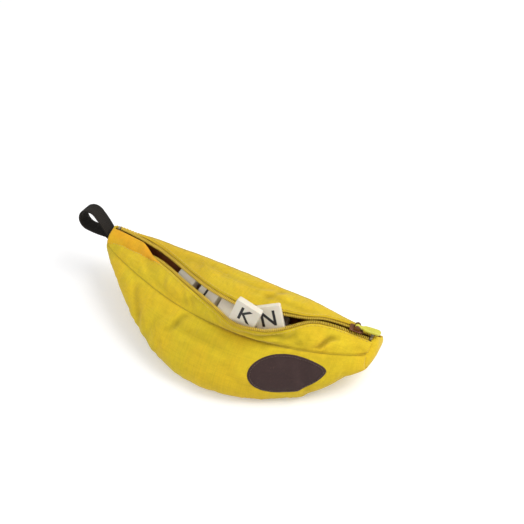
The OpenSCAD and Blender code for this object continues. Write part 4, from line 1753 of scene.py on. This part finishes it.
class Studio:
    """White table, soft daylight and the camera at the photograph's angle."""

    eye = (263.86, -406.65, 580.53)
    azimuth, elevation, roll = 28.98, 45.56, -0.366
    focal_px, frame_px, sensor = 1031.14, 524, 36.0

    def build(self) -> None:
        """Makes the camera, lights, world and floor."""
        self.camera()
        self.lights()
        self.floor()
        scene = bpy.context.scene
        scene.view_settings.view_transform = "Standard"

    def camera(self) -> None:
        """Makes the camera."""
        a, e = math.radians(self.azimuth), math.radians(self.elevation)
        back = Vector((math.sin(a) * math.cos(e), -math.cos(a) * math.cos(e), math.sin(e)))
        data = bpy.data.cameras.new("camera")
        data.sensor_width, data.lens = self.sensor, self.focal_px / self.frame_px * self.sensor
        data.clip_start, data.clip_end = 0.01, 20
        cam = placed("camera", data)
        turn = (-back).to_track_quat("-Z", "Y").to_matrix().to_4x4()
        cam.matrix_world = (Matrix.Translation(Vector(self.eye) * MM) @ turn
                            @ rotated(self.roll, "Z"))
        bpy.context.scene.camera = cam

    def lamp(self, name: str, place: Vector, aim: Vector, size: float, watts: float, tint: Colour) -> None:
        """Makes one soft lamp.

        Args:
            name: Its name.
            place: Where it hangs, in metres.
            aim: What it faces.
            size: Its side.
            watts: Its power.
            tint: Its colour.
        """
        data = bpy.data.lights.new(name, "AREA")
        data.size, data.energy, data.color = size, watts, tint
        obj = placed(name, data)
        obj.location = place
        obj.rotation_mode = "QUATERNION"
        obj.rotation_quaternion = (aim - place).to_track_quat("-Z", "Y")

    def lights(self) -> None:
        """Makes the lamps and the sky."""
        centre = Vector((0, 0, 0.03))
        self.lamp("window", Vector((0.55, 0.35, 0.85)), centre, 0.7, 7.5, (1.0, 0.985, 0.96))
        self.lamp("fill", Vector((-0.5, -0.75, 0.8)), centre, 0.9, 3.2, (0.97, 0.98, 1.0))
        world = bpy.data.worlds.new("daylight")
        world.use_nodes = True
        bpy.context.scene.world = world
        nodes, links = world.node_tree.nodes, world.node_tree.links
        nodes.clear()
        path, out, soft, seen, mix = (nodes.new("ShaderNode" + kind) for kind in (
            "LightPath", "OutputWorld", "Background", "Background", "MixShader"))
        soft.inputs["Strength"].default_value = 0.55
        for sky in (soft, seen):
            sky.inputs["Color"].default_value = (1, 1, 1, 1)
        links.new(path.outputs["Is Camera Ray"], mix.inputs[0])
        links.new(soft.outputs[0], mix.inputs[1])
        links.new(seen.outputs[0], mix.inputs[2])
        links.new(mix.outputs[0], out.inputs["Surface"])

    def floor(self) -> None:
        """Makes the white table top."""
        side, low = 3000.0, -0.15
        corners = np.array([[-side, -side, low], [side, -side, low], [side, side, low], [-side, side, low]])
        table = make_object("table_top", corners, [[0, 1, 2, 3]], (FloorFinish().make(),), False)


def main() -> None:
    """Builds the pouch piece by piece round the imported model."""
    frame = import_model()
    Studio().build()
    finishes, form, rows = Finishes(), PouchForm(), RowTree()
    panels = Panels(form, finishes)
    panels.build()
    Seams(form, panels, finishes, rows).build()
    Zip(form, finishes, rows).build()
    Loop(finishes).build()
    OvalPatch(form, finishes, rows, panels.front_lower).build()
    Tiles(finishes, frame["nodes"]).build()


if __name__ == "__main__":
    main()
